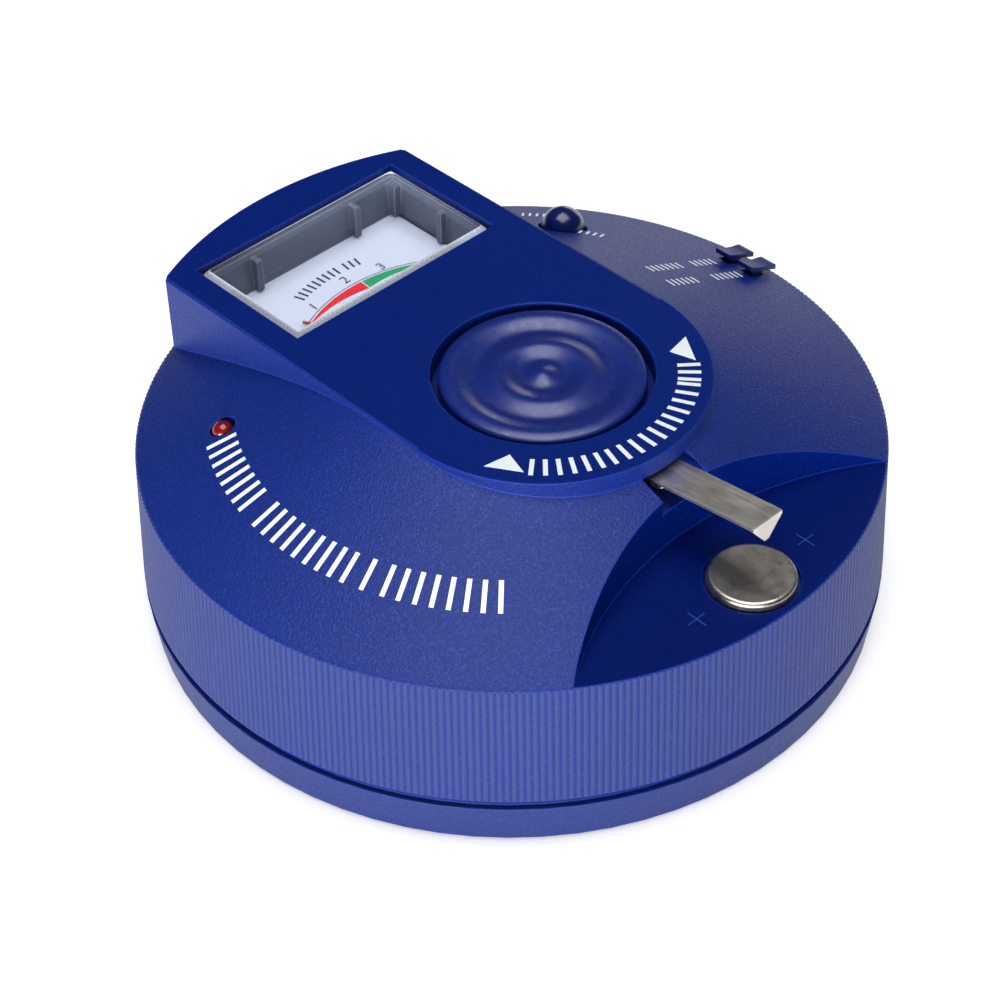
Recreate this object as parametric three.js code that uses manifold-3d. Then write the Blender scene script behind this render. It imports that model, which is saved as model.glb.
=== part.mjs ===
// Bench tester for quartz watches and button cells: a round moulded body with a raised meter
// platform, a ripple-faced sensor pad, a sprung contact arm over a contact disc, a lamp and
// three push buttons. Millimetres, +Z up, origin on the floor under the body's centre, with the
// meter towards +Y and the contact recess towards -Y.
import * as THREE from 'three';
import { mergeVertices } from 'three/addons/utils/BufferGeometryUtils.js';
import Module from 'manifold-3d';

const wasm = await Module();
wasm.setup();

// ---- driving sizes -------------------------------------------------------------------------
// Body shell
const RIM_R = 50; // top edge of the ribbed skirt
const SKIRT_FLARE = 0.9; // how much wider the skirt's lower edge is, and the base ring's upper edge
const BASE_DRAFT = 0.7; // how much narrower the base ring's lower edge is
const WALL = 2.2; // moulded wall
const FOOT_PROUD = 0.5; // how far the feet stand out of the base
const BASE_RING_H = 6.0;
const GROOVE_H = 1.2; // parting groove between base ring and skirt
const GROOVE_DEPTH = 0.9;
const SKIRT_H = 18.7;
const DECK_RISE = 11.9; // height of the cone from the rim to its inner edge
const BODY_SEGMENTS = 72;

// Meter platform
const PLATFORM_HALF = 22;
const PLATFORM_BACK_INSET = 0.5; // the platform's back stands this far inside the rim
const PLATFORM_STEP = 0.2; // how far the platform top stands over the cone's inner edge

// Sensor pad
const PAD_Y = -6;
const PAD_R = 13.6;
const PAD_GROOVE = 1.0;
const PAD_T = 2.9;
const PAD_SEAT_T = 1.6;
const PAD_SEAT_HOLE_R = 11.5;
const PAD_TUBE_WALL = 1.8;
const RIPPLE_PITCH = 6;
const RIPPLE_H = 0.35;

// Contact recess, disc and arm
const RECESS_R = 49.7;
const RECESS_DEPTH = 19; // rim to the recess wall
const DISC_INSET = 7.2; // rim to the disc's middle
const DISC_R = 5.75;
const DISC_PROUD = 1.0;
const POCKET_R = 6.2;
const POCKET_DEPTH = 1.0;
const DISC_STUD_R = 1.4;
const NUT_H = 2;
const ARM_HALF_W = 2.6;
const ARM_T = 0.5;
const ARM_OVERREACH = 1.4; // how far the arm's bend passes the disc's middle
const ARM_TILT = THREE.MathUtils.degToRad(7.8);
const ARM_LIP_H = 3.2; // top face to the lip's point
const ARM_SET = 0.38; // the strip's top face over the pin's axis
const ARM_EYE_R = 1.2;
const ARM_PIN_R = 0.6;
const ARM_PIN_GAP = 1.8; // pin to the pad's tube, at least
const ARM_PIN_SETBACK = 3.8; // pin to the platform's front, at most
const ARM_PIN_DROP = 4.2; // pin axis below the platform top
const ARM_ROOM = 0.4; // over the arm where it passes under the platform
const SLOT_HALF = 4.0;
const SLOT_FLOOR_DROP = 6.5; // slot floor below the platform top
const EAR_W = 2.0;
const ARM_SPRING_R = 1.4;
const ARM_SPRING_WIRE = 0.2;
const ARM_SPRING_REACH = 2.9; // pin to the spring's middle

// Meter
const WINDOW_MARGIN = 4.4; // platform side to the window
const WINDOW_BACK_MARGIN = 1.8; // platform's back corner to the window
const WINDOW_L = 20.6;
const WINDOW_CORNER = 1.4;
const WINDOW_BEVEL = 0.9;
const METER_WALL = 1.5;
const METER_REACH = 16.1; // how far the movement's housing runs on in front of the window
const METER_DEPTH = 16.9; // platform top to the meter's underside
const DIAL_DEPTH = 8.2; // platform top to the printed face
const DIAL_T = 0.5;
const DIAL_REACH = 4.4; // how far the printed face runs on in front of the window
const NEEDLE_SETBACK = 9.4; // window to the needle's spindle
const NEEDLE_REACH = 20.5;
const NEEDLE_REST = THREE.MathUtils.degToRad(29);
const MAGNET_BORE_R = 4.2;
const MAGNET_L = 18.6;
const MAGNET_HALF_W = 9;

// Lamp and buttons, set on the cone
const SIDE_R = 38.1;
const SIDE_ANGLE = THREE.MathUtils.degToRad(34.5);
const LAMP_R = 1.5;
const POWER_R = 3.1;
const POWER_GROOVE = 0.5;
const POWER_DOME_H = 3.0;
const POWER_TRAVEL = 1.0;
const POWER_SKIRT = 3.0; // how far the cap's straight side reaches down
const POWER_FLANGE = 0.7; // the cap's retaining flange stands out this far past its hole
const POWER_FLANGE_T = 0.8;
const POWER_STEM_R = 1.5;
const POWER_STEM_L = 2.6;
const POWER_SWITCH_H = 2.6;
const TEST_PITCH = 4.2;
const TEST_L = 5.4;
const TEST_INSET = 0.7; // rim to the button's outer end
const TEST_HALF_W = 1.25;
const TEST_LIFT = 1.1; // gap under the button heads
const TEST_HEAD_H = 1.25;
const TEST_TRAVEL = 0.8;
const TEST_STEM_INSET = 4; // rim to the stem's middle
const TEST_STEM_L = 2.2;
const TEST_STEM_HALF_W = 0.7;
const TEST_FOOT_OUT = 0.6;
const TEST_FOOT_T = 0.9;
const TEST_SWITCH_H = 3.5;
const TEST_SWITCH_L = 5;
const TEST_SWITCH_HALF_W = 1.8;

// Inside the base
const BASE_FLOOR_T = 3.0;
const SPIGOT_H = 2.8;
const SPIGOT_WALL = 1.6;
const BOARD_GAP = 1.75; // under the meter and the disc's stud
const BOARD_T = 1.6;
const BOARD_INSET = 2.9; // rim to the board's edge
const BOARD_POST_X = 36; // the two posts that take screws
const BOARD_POST_Y = 30; // the two plain posts
const BOARD_POST_R = 2.6;
const CELL_R = 5.25;
const CELL_L = 44.5;
const CELL_GAP = 0.7;
const BAY_WALL = 1.5;
const BAY_H = 8;
const CONTACT_ROOM = 1.5; // end room for the cell contacts
const DOOR_SLIDE = 6;
const DOOR_TONGUE = 0.8;
const DOOR_TONGUE_L = 8;
const DOOR_TONGUE_X = [-16, 12];
const CASE_SCREW_INSET = 8.4; // rim to the screw's middle
const CASE_SCREW_CLEAR = 2; // how far the screws stand outside the platform's sides
const POST_R = 3.6;
const SCREW_SHANK_R = 1.4;
const SCREW_HEAD_R = 2.9;
const SCREW_HEAD_H = 1.7;
const SCREW_TIP_Z = 14;
const FOOT_X = 36;
const FOOT_Y = 17;
const FOOT_R = 4;

// Clearances
const FIT = 0.3; // between pieces that slide or drop into each other
const TOUCH = 0.05; // between pieces that rest on each other
const PIN_FIT = 0.05;
const PLAY = 0.1; // idle play before a button meets its switch

// ---- sizes that follow ---------------------------------------------------------------------
const SKIRT_R = RIM_R + SKIRT_FLARE;
const BASE_R = SKIRT_R - BASE_DRAFT;
const DECK_IN_R = PLATFORM_HALF;
const PLATFORM_BACK_R = RIM_R - PLATFORM_BACK_INSET;
const BASE_Z = FOOT_PROUD;
const FLOOR_Z = BASE_Z + BASE_FLOOR_T;
const GROOVE_LOW_Z = BASE_Z + BASE_RING_H;
const GROOVE_HIGH_Z = GROOVE_LOW_Z + GROOVE_H;
const RIM_Z = GROOVE_HIGH_Z + SKIRT_H;
const DECK_IN_Z = RIM_Z + DECK_RISE;
const DECK_SLOPE = DECK_RISE / (RIM_R - DECK_IN_R);
const DECK_TILT = Math.atan(DECK_SLOPE);
const DECK_DROP = WALL / Math.cos(DECK_TILT); // the deck's wall, measured straight down
const PLATFORM_Z = DECK_IN_Z + PLATFORM_STEP;
const PLATFORM_UNDER = PLATFORM_Z - WALL;
const RECESS_REACH = RIM_R - RECESS_DEPTH;
const RECESS_Y = -RECESS_REACH - RECESS_R;
const DISC_Y = DISC_INSET - RIM_R;
const PAD_HOLE_R = PAD_R + PAD_GROOVE;
const PAD_BOTTOM_Z = PLATFORM_Z - PAD_T - RIPPLE_H;
const PAD_SEAT_Z = PAD_BOTTOM_Z - TOUCH;
const PAD_TUBE_R = PAD_HOLE_R + PAD_TUBE_WALL;
const PLATFORM_FRONT_Y = PAD_Y - PLATFORM_HALF;
const ARM_PIN_Y = Math.min(PAD_Y - PAD_TUBE_R - ARM_PIN_GAP, PLATFORM_FRONT_Y + ARM_PIN_SETBACK);
const ARM_PIN_Z = PLATFORM_Z - ARM_PIN_DROP;
const ARM_RISE = ARM_SET + (ARM_PIN_Y - PLATFORM_FRONT_Y) * Math.tan(ARM_TILT);
const SLOT_ROOF_Z = ARM_PIN_Z + Math.max(ARM_RISE, ARM_EYE_R) + ARM_ROOM;
const ARM_LENGTH = (ARM_PIN_Y - DISC_Y + ARM_OVERREACH) / Math.cos(ARM_TILT);
const SLOT_Z = PLATFORM_Z - SLOT_FLOOR_DROP;
const WINDOW_HALF = PLATFORM_HALF - WINDOW_MARGIN;
const WINDOW_Y1 = Math.sqrt(PLATFORM_BACK_R ** 2 - PLATFORM_HALF ** 2) - WINDOW_BACK_MARGIN;
const WINDOW_Y0 = WINDOW_Y1 - WINDOW_L;
const METER_FRONT_Y = WINDOW_Y0 - METER_REACH;
const DIAL_Y0 = WINDOW_Y0 - DIAL_REACH;
const NEEDLE_PIVOT_Y = WINDOW_Y0 - NEEDLE_SETBACK;
const METER_HALF = WINDOW_HALF + 0.8;
const METER_BACK_Y = WINDOW_Y1 + 0.7;
const METER_Z = PLATFORM_Z - METER_DEPTH;
const METER_TOP_Z = PLATFORM_UNDER - TOUCH;
const METER_ROOF_Z = PAD_SEAT_Z - PAD_SEAT_T - 0.4;
const DIAL_Z = PLATFORM_Z - DIAL_DEPTH;
const NEEDLE_Z = DIAL_Z + 0.4;
const POCKET_Z = RIM_Z - POCKET_DEPTH;
const NUT_TOP = RIM_Z - WALL - TOUCH;
const STUD_Z = NUT_TOP - NUT_H - 0.8;
const BOARD_TOP = Math.min(METER_Z, STUD_Z) - BOARD_GAP;
const BOARD_Z = BOARD_TOP - BOARD_T;
const BOARD_R = RIM_R - BOARD_INSET;
const CELL_PITCH = 2 * CELL_R + CELL_GAP;
const BAY_HALF_X = CELL_L / 2 + CONTACT_ROOM;
const BAY_HALF_Y = CELL_PITCH / 2 + CELL_R + FIT;
const DOOR_HALF_X = BAY_HALF_X + 1.3;
const DOOR_HALF_Y = BAY_HALF_Y + 0.4;
const DOOR_BOTTOM = BASE_Z + 0.1;
const DOOR_LIP_Z = BASE_Z + 0.65; // the base's lip under the door's tongues ends here
const DOOR_TOP = BASE_Z + 1.7;
const DOOR_ROOM_Z = DOOR_TOP + 0.2;
const CELL_Z = DOOR_TOP + FIT + CELL_R;
const BOSS_TOP = FLOOR_Z + 1.4;
const SCREW_SEAT_Z = BASE_Z + 2.4;
const POWER_HOLE_R = POWER_R + POWER_GROOVE;
const POWER_BORE_R = POWER_HOLE_R + POWER_FLANGE + FIT;
const POWER_STEM_END = -POWER_SKIRT - POWER_FLANGE_T - POWER_STEM_L;
const POWER_SWITCH_TOP = POWER_STEM_END - POWER_TRAVEL - PLAY;
const POWER_SWITCH_END = POWER_SWITCH_TOP - POWER_SWITCH_H;
const POWER_BOSS_END = POWER_SWITCH_TOP + FIT;
const TEST_X1 = RIM_R - TEST_INSET;
const TEST_X0 = TEST_X1 - TEST_L;
const TEST_STEM_X = RIM_R - TEST_STEM_INSET;
const CASE_SCREW_X = PLATFORM_HALF + CASE_SCREW_CLEAR;
const CASE_SCREW_Y = Math.sqrt((RIM_R - CASE_SCREW_INSET) ** 2 - CASE_SCREW_X ** 2);
const TEST_SWITCH_TOP = BOARD_TOP + TOUCH + TEST_SWITCH_H;
const TEST_STEM_Z = TEST_SWITCH_TOP + TEST_TRAVEL + PLAY;

const lampAt = [-SIDE_R * Math.cos(SIDE_ANGLE), SIDE_R * Math.sin(SIDE_ANGLE)];
const powerAt = [SIDE_R * Math.cos(SIDE_ANGLE), SIDE_R * Math.sin(SIDE_ANGLE)];
const caseScrewPlaces = [
  [CASE_SCREW_X, CASE_SCREW_Y],
  [-CASE_SCREW_X, CASE_SCREW_Y],
  [-CASE_SCREW_X, -CASE_SCREW_Y],
  [CASE_SCREW_X, -CASE_SCREW_Y],
];
const footPlaces = [
  [FOOT_X, FOOT_Y],
  [-FOOT_X, FOOT_Y],
  [-FOOT_X, -FOOT_Y],
  [FOOT_X, -FOOT_Y],
];

function deckZ(r) {
  return RIM_Z + (RIM_R - r) * DECK_SLOPE;
}

// ---- materials -----------------------------------------------------------------------------
function material(color, roughness, metalness = 0) {
  return new THREE.MeshStandardMaterial({ color, roughness, metalness });
}
const bluePlastic = material(0x1d2f8c, 0.5);
const glossBlue = material(0x14247c, 0.25);
const darkBlue = material(0x0b1650, 0.2);
const clearPlastic = material(0xdfe6f2, 0.08);
const greyPlastic = material(0x757f96, 0.4);
const whiteCard = material(0xdfe3f2, 0.6);
const redPaint = material(0xc01828, 0.4);
const redLens = material(0x8c0f14, 0.15);
const nickel = material(0xa09a8c, 0.3, 1);
const steel = material(0xb4b4b4, 0.3, 1);
const copper = material(0xb87040, 0.4, 1);
const ferrite = material(0x2c2c2c, 0.7);
const boardGreen = material(0x14603a, 0.5);
const blackPlastic = material(0x151515, 0.5);
const rubber = material(0x1c1c1c, 0.9);
const cellJacket = material(0x3a3f4a, 0.35);

// ---- solids from three.js geometry ---------------------------------------------------------
function solid(geometry) {
  const bare = geometry.clone();
  bare.deleteAttribute('normal');
  bare.deleteAttribute('uv');
  const merged = mergeVertices(bare, 1e-4);
  const index = merged.index.array;
  const kept = [];
  for (let i = 0; i < index.length; i += 3) {
    const [a, b, c] = [index[i], index[i + 1], index[i + 2]];
    if (a !== b && b !== c && c !== a) kept.push(a, b, c);
  }
  return new wasm.Manifold(new wasm.Mesh({
    numProp: 3,
    vertProperties: new Float32Array(merged.attributes.position.array),
    triVerts: new Uint32Array(kept),
  }));
}

function geometryOf(body) {
  const mesh = body.getMesh();
  const geometry = new THREE.BufferGeometry();
  geometry.setAttribute('position', new THREE.BufferAttribute(mesh.vertProperties, 3));
  geometry.setIndex(new THREE.BufferAttribute(mesh.triVerts, 1));
  geometry.computeVertexNormals();
  return geometry;
}

function box(x0, x1, y0, y1, z0, z1) {
  const geometry = new THREE.BoxGeometry(x1 - x0, y1 - y0, z1 - z0);
  geometry.translate((x0 + x1) / 2, (y0 + y1) / 2, (z0 + z1) / 2);
  return solid(geometry);
}

// A profile of [radius, height] points, from the axis at the bottom to the axis at the top.
function turned(profile, segments = 32, x = 0, y = 0) {
  const points = profile.map(([r, z]) => new THREE.Vector2(r, z));
  const geometry = new THREE.LatheGeometry(points, segments);
  geometry.rotateX(Math.PI / 2);
  geometry.translate(x, y, 0);
  return solid(geometry);
}

function rod(r, z0, z1, x = 0, y = 0, segments = 24) {
  return turned([[0, z0], [r, z0], [r, z1], [0, z1]], segments, x, y);
}

function rodAlongX(r, x0, x1, y, z, segments = 24) {
  const geometry = new THREE.CylinderGeometry(r, r, x1 - x0, segments);
  geometry.rotateZ(Math.PI / 2);
  geometry.translate((x0 + x1) / 2, y, z);
  return solid(geometry);
}

function extruded(shape, z0, z1, curveSegments = 20) {
  const geometry = new THREE.ExtrudeGeometry(shape, {
    depth: z1 - z0,
    bevelEnabled: false,
    curveSegments,
  });
  geometry.translate(0, 0, z0);
  return solid(geometry);
}

// An outline drawn in X and Z, given its width along Y.
function profiled(shape, y0, y1) {
  const geometry = new THREE.ExtrudeGeometry(shape, { depth: y1 - y0, bevelEnabled: false });
  geometry.rotateX(Math.PI / 2);
  geometry.translate(0, y1, 0);
  return solid(geometry);
}

function arc(centreR, centreZ, radius, from, to, steps) {
  const points = [];
  for (let i = 0; i <= steps; i += 1) {
    const a = THREE.MathUtils.degToRad(from + ((to - from) * i) / steps);
    points.push([centreR + radius * Math.cos(a), centreZ + radius * Math.sin(a)]);
  }
  return points;
}

const tester = new THREE.Group();

function add(name, body, skin, parent = tester) {
  const mesh = new THREE.Mesh(geometryOf(body), skin);
  mesh.name = name;
  parent.add(mesh);
  return mesh;
}

// The group that the round button is built in: its +Z is the cone's normal at the button.
const powerGroup = new THREE.Group();
powerGroup.position.set(powerAt[0], powerAt[1], deckZ(SIDE_R));
powerGroup.rotation.set(0, DECK_TILT, SIDE_ANGLE, 'ZYX');
powerGroup.updateMatrixWorld(true);
tester.add(powerGroup);

function onPowerAxis(profile, segments = 28) {
  const points = profile.map(([r, z]) => new THREE.Vector2(r, z));
  const geometry = new THREE.LatheGeometry(points, segments);
  geometry.rotateX(Math.PI / 2);
  geometry.applyMatrix4(powerGroup.matrixWorld);
  return solid(geometry);
}

// ---- housing -------------------------------------------------------------------------------
function platformOutline(inset) {
  const half = PLATFORM_HALF - inset;
  const back = PLATFORM_BACK_R - inset;
  const corner = Math.acos(half / back);
  const shape = new THREE.Shape();
  shape.moveTo(half, PAD_Y);
  shape.lineTo(half, back * Math.sin(corner));
  shape.absarc(0, 0, back, corner, Math.PI - corner, false);
  shape.lineTo(-half, PAD_Y);
  shape.absarc(0, PAD_Y, half, Math.PI, Math.PI * 2, false);
  return shape;
}

function upperHousing() {
  const high = PLATFORM_Z + 10;
  const inR = SKIRT_R - WALL;
  const underR = RIM_R - WALL;
  const cone = turned([
    [0, GROOVE_HIGH_Z], [SKIRT_R, GROOVE_HIGH_Z], [RIM_R, RIM_Z],
    [DECK_IN_R, DECK_IN_Z], [0, DECK_IN_Z],
  ], BODY_SEGMENTS);
  const outer = cone.add(extruded(platformOutline(0), GROOVE_HIGH_Z + 10, PLATFORM_Z));
  const inner = turned([
    [0, BASE_Z], [inR, BASE_Z], [inR, GROOVE_HIGH_Z],
    [underR, deckZ(underR) - DECK_DROP], [DECK_IN_R, DECK_IN_Z - DECK_DROP],
    [0, DECK_IN_Z - DECK_DROP],
  ], BODY_SEGMENTS).add(extruded(platformOutline(WALL), GROOVE_HIGH_Z + 10, PLATFORM_UNDER));
  let shell = outer.subtract(inner);

  // Contact recess with its floor and curved wall
  const recessLiner = rod(RECESS_R + WALL, RIM_Z - WALL, high, 0, RECESS_Y, BODY_SEGMENTS);
  shell = shell.add(outer.intersect(recessLiner));

  // Trough and ears that carry the contact arm, and the posts that take the case screws
  const earIn = SLOT_HALF + 0.2;
  const earOut = earIn + EAR_W;
  const trough = box(-SLOT_HALF - EAR_W, SLOT_HALF + EAR_W, -RECESS_REACH - 1,
    ARM_PIN_Y + 1.4, SLOT_Z - 1.6, SLOT_Z + 1.6);
  shell = shell.add(outer.intersect(trough));
  for (const side of [-1, 1]) {
    const x0 = Math.min(side * earIn, side * earOut);
    const ear = box(x0, x0 + EAR_W, ARM_PIN_Y - 1.3, ARM_PIN_Y + 1.4, SLOT_Z, PLATFORM_UNDER + 0.1);
    shell = shell.add(outer.intersect(ear));
  }
  for (const [x, y] of caseScrewPlaces) {
    shell = shell.add(outer.intersect(rod(POST_R, BOSS_TOP + TOUCH, high, x, y)));
  }

  // Pad seat, button boss
  shell = shell.add(rod(PAD_TUBE_R, PAD_SEAT_Z - PAD_SEAT_T, PLATFORM_Z - 1, 0, PAD_Y, 48));
  shell = shell.add(outer.intersect(onPowerAxis([
    [0, POWER_BOSS_END], [POWER_BORE_R + 1.2, POWER_BOSS_END], [POWER_BORE_R + 1.2, 2], [0, 2],
  ])));

  // Cuts
  const slotOverDeck = box(-SLOT_HALF, SLOT_HALF, -RECESS_REACH - 5, ARM_PIN_Y, SLOT_Z, high)
    .subtract(extruded(platformOutline(0), SLOT_Z - 1, high + 1));
  const slotUnderPlatform = box(-SLOT_HALF, SLOT_HALF, -RECESS_REACH - 1, ARM_PIN_Y + 1.5,
    SLOT_Z, SLOT_ROOF_Z);
  shell = shell
    .subtract(rod(RECESS_R, RIM_Z, high, 0, RECESS_Y, BODY_SEGMENTS))
    .subtract(slotOverDeck)
    .subtract(slotUnderPlatform)
    .subtract(rodAlongX(ARM_PIN_R + PIN_FIT, -earOut - 1, earOut + 1, ARM_PIN_Y, ARM_PIN_Z))
    .subtract(rod(PAD_HOLE_R, PAD_SEAT_Z, high, 0, PAD_Y, 48))
    .subtract(rod(PAD_SEAT_HOLE_R, METER_Z, high, 0, PAD_Y, 40))
    .subtract(box(-WINDOW_HALF - FIT, WINDOW_HALF + FIT, WINDOW_Y0 - FIT, WINDOW_Y1 + FIT, METER_Z, high))
    .subtract(rod(POCKET_R, RIM_Z - POCKET_DEPTH, high, 0, DISC_Y, 40))
    .subtract(rod(DISC_STUD_R + FIT, BOARD_TOP, high, 0, DISC_Y))
    .subtract(rod(LAMP_R + 0.25, BOARD_TOP, high, lampAt[0], lampAt[1]))
    .subtract(onPowerAxis([
      [0, POWER_BOSS_END - 1], [POWER_BORE_R, POWER_BOSS_END - 1], [POWER_BORE_R, -POWER_SKIRT + PLAY],
      [POWER_HOLE_R, -POWER_SKIRT + PLAY], [POWER_HOLE_R, 8], [0, 8],
    ]));
  for (const side of [-1, 1]) {
    const y = (side * TEST_PITCH) / 2;
    const halfL = TEST_STEM_L / 2 + FIT;
    shell = shell.subtract(box(TEST_STEM_X - halfL, TEST_STEM_X + halfL,
      y - TEST_STEM_HALF_W - FIT, y + TEST_STEM_HALF_W + FIT, BOARD_TOP, high));
  }
  for (const [x, y] of caseScrewPlaces) {
    shell = shell.subtract(rod(SCREW_SHANK_R + 0.1, BASE_Z, SCREW_TIP_Z + 1, x, y));
  }
  return shell;
}

add('upper_housing', upperHousing(), bluePlastic);

// ---- base ----------------------------------------------------------------------------------
function baseCover() {
  const shoulderR = SKIRT_R - GROOVE_DEPTH;
  const spigotR = SKIRT_R - WALL - FIT;
  const shoulderZ = GROOVE_HIGH_Z - TOUCH;
  const spigotZ = GROOVE_HIGH_Z + SPIGOT_H;
  let base = turned([
    [0, BASE_Z], [BASE_R, BASE_Z], [SKIRT_R, GROOVE_LOW_Z], [shoulderR, GROOVE_LOW_Z],
    [shoulderR, shoulderZ], [spigotR, shoulderZ], [spigotR, spigotZ],
    [spigotR - SPIGOT_WALL, spigotZ], [spigotR - SPIGOT_WALL, FLOOR_Z], [0, FLOOR_Z],
  ], BODY_SEGMENTS);

  // Battery bay, screw bosses and board posts
  const bay = box(-BAY_HALF_X - BAY_WALL, BAY_HALF_X + BAY_WALL, -BAY_HALF_Y - BAY_WALL,
    BAY_HALF_Y + BAY_WALL, FLOOR_Z - 0.5, FLOOR_Z + BAY_H);
  base = base.add(bay);
  for (const [x, y] of caseScrewPlaces) {
    base = base.add(rod(POST_R, BASE_Z, BOSS_TOP, x, y));
  }
  for (const side of [-1, 1]) {
    base = base.add(rod(BOARD_POST_R, FLOOR_Z - 0.5, BOARD_Z - TOUCH, side * BOARD_POST_X, 0, 24));
    base = base.add(rod(BOARD_POST_R, FLOOR_Z - 0.5, BOARD_Z - TOUCH, 0, side * BOARD_POST_Y, 24));
  }

  // Cuts
  base = base
    .subtract(box(-BAY_HALF_X, BAY_HALF_X, -BAY_HALF_Y, BAY_HALF_Y, DOOR_BOTTOM, BOARD_Z))
    .subtract(box(-DOOR_HALF_X - FIT, DOOR_HALF_X + DOOR_SLIDE + FIT,
      -DOOR_HALF_Y - FIT, DOOR_HALF_Y + FIT, BASE_Z - 1, DOOR_ROOM_Z))
    .subtract(box(-DOOR_HALF_X - FIT, DOOR_HALF_X + DOOR_SLIDE + FIT,
      -DOOR_HALF_Y - DOOR_TONGUE - FIT, DOOR_HALF_Y + DOOR_TONGUE + FIT, DOOR_LIP_Z, DOOR_ROOM_Z));
  for (const tongue of DOOR_TONGUE_X) {
    const x = tongue + DOOR_SLIDE;
    const half = DOOR_TONGUE_L / 2 + FIT;
    base = base.subtract(box(x - half, x + half, -DOOR_HALF_Y - DOOR_TONGUE - FIT,
      DOOR_HALF_Y + DOOR_TONGUE + FIT, BASE_Z - 1, DOOR_ROOM_Z));
  }
  for (const [x, y] of caseScrewPlaces) {
    base = base
      .subtract(rod(SCREW_HEAD_R + FIT, BASE_Z - 1, SCREW_SEAT_Z + TOUCH, x, y))
      .subtract(rod(SCREW_SHANK_R + FIT, BASE_Z - 1, BOSS_TOP + 1, x, y));
  }
  for (const [x, y] of footPlaces) {
    base = base.subtract(rod(FOOT_R + FIT, BASE_Z - 1, BASE_Z + 0.8 + TOUCH, x, y));
  }
  for (const side of [-1, 1]) {
    base = base.subtract(rod(1.1, BOARD_Z - 8, BOARD_Z + 1, side * BOARD_POST_X, 0));
  }
  return base;
}
add('base_cover', baseCover(), bluePlastic);

// The door's tongues slide over the base's lip, and drop through its notches once the door is back.
function batteryDoor() {
  let door = box(-DOOR_HALF_X, DOOR_HALF_X, -DOOR_HALF_Y, DOOR_HALF_Y, DOOR_BOTTOM, DOOR_TOP);
  for (const x of DOOR_TONGUE_X) {
    door = door.add(box(x - DOOR_TONGUE_L / 2, x + DOOR_TONGUE_L / 2, -DOOR_HALF_Y - DOOR_TONGUE,
      DOOR_HALF_Y + DOOR_TONGUE, DOOR_LIP_Z + 0.15, DOOR_TOP));
  }
  for (let i = 0; i < 4; i += 1) {
    const x = DOOR_HALF_X - 4 - i * 2;
    door = door.subtract(box(x - 0.5, x + 0.5, -7, 7, DOOR_BOTTOM - 1, DOOR_BOTTOM + 0.4));
  }
  return door;
}
add('battery_door', batteryDoor(), bluePlastic);

// A cross-slotted screw, head down, with its origin at the face that clamps.
function screw(headR, headH, shankR, shankL, slot) {
  const body = turned([
    [0, -headH], [headR - 0.3, -headH], [headR, -headH + 0.3], [headR, 0],
    [shankR, 0], [shankR, shankL - 0.6], [shankR * 0.5, shankL], [0, shankL],
  ], 16);
  return body
    .subtract(box(-headR * 0.6, headR * 0.6, -slot / 2, slot / 2, -headH - 1, -headH + headH * 0.5))
    .subtract(box(-slot / 2, slot / 2, -headR * 0.6, headR * 0.6, -headH - 1, -headH + headH * 0.5));
}
caseScrewPlaces.forEach(([x, y], i) => {
  const piece = screw(SCREW_HEAD_R, SCREW_HEAD_H, SCREW_SHANK_R, SCREW_TIP_Z - SCREW_SEAT_Z, 0.7);
  add(`case_screw_${i + 1}`, piece, steel).position.set(x, y, SCREW_SEAT_Z);
});

footPlaces.forEach(([x, y], i) => {
  const top = BASE_Z + 0.8;
  const piece = turned([[0, 0], [FOOT_R - 0.4, 0], [FOOT_R, 0.4], [FOOT_R, top], [0, top]], 32);
  add(`foot_${i + 1}`, piece, rubber).position.set(x, y, 0);
});

// ---- sensor pad and pickup -----------------------------------------------------------------
function sensorPad() {
  const profile = [[0, PAD_BOTTOM_Z], [PAD_R, PAD_BOTTOM_Z], [PAD_R, PLATFORM_Z - 0.8]];
  const steps = 17;
  const edge = PAD_R - 0.5;
  for (let i = 0; i <= steps; i += 1) {
    const r = edge * (1 - i / steps);
    const wave = Math.cos((2 * Math.PI * r) / RIPPLE_PITCH);
    profile.push([r, PLATFORM_Z - RIPPLE_H + RIPPLE_H * wave]);
  }
  return turned(profile, 48, 0, PAD_Y);
}
add('sensor_pad', sensorPad(), glossBlue);

const PICKUP_Z0 = PAD_BOTTOM_Z - 4.2;
const PICKUP_CORE_R = 4;
function pickupCoil() {
  const ring = rod(PAD_SEAT_HOLE_R - 2.5, PICKUP_Z0, PAD_BOTTOM_Z - TOUCH, 0, PAD_Y, 40);
  return ring.subtract(rod(PICKUP_CORE_R + 0.2, PICKUP_Z0 - 1, PAD_BOTTOM_Z + 1, 0, PAD_Y, 32));
}
add('pickup_coil', pickupCoil(), copper);
add('coil_core', rod(PICKUP_CORE_R, PICKUP_Z0, PAD_BOTTOM_Z - TOUCH, 0, PAD_Y), ferrite);

// ---- contact disc and arm ------------------------------------------------------------------
function contactDisc() {
  const top = RIM_Z + DISC_PROUD;
  const edge = 0.7;
  return turned([
    [0, STUD_Z], [DISC_STUD_R, STUD_Z],
    [DISC_STUD_R, POCKET_Z + TOUCH], [DISC_R, POCKET_Z + TOUCH],
    ...arc(DISC_R - edge, top - edge, edge, 0, 90, 4), [0, top],
  ], 36, 0, DISC_Y);
}
add('contact_disc', contactDisc(), nickel);

function discNut() {
  return rod(2.9, NUT_TOP - NUT_H, NUT_TOP, 0, DISC_Y, 6)
    .subtract(rod(DISC_STUD_R + 0.05, NUT_TOP - NUT_H - 1, NUT_TOP + 1, 0, DISC_Y, 32));
}
add('disc_nut', discNut(), nickel);

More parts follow.
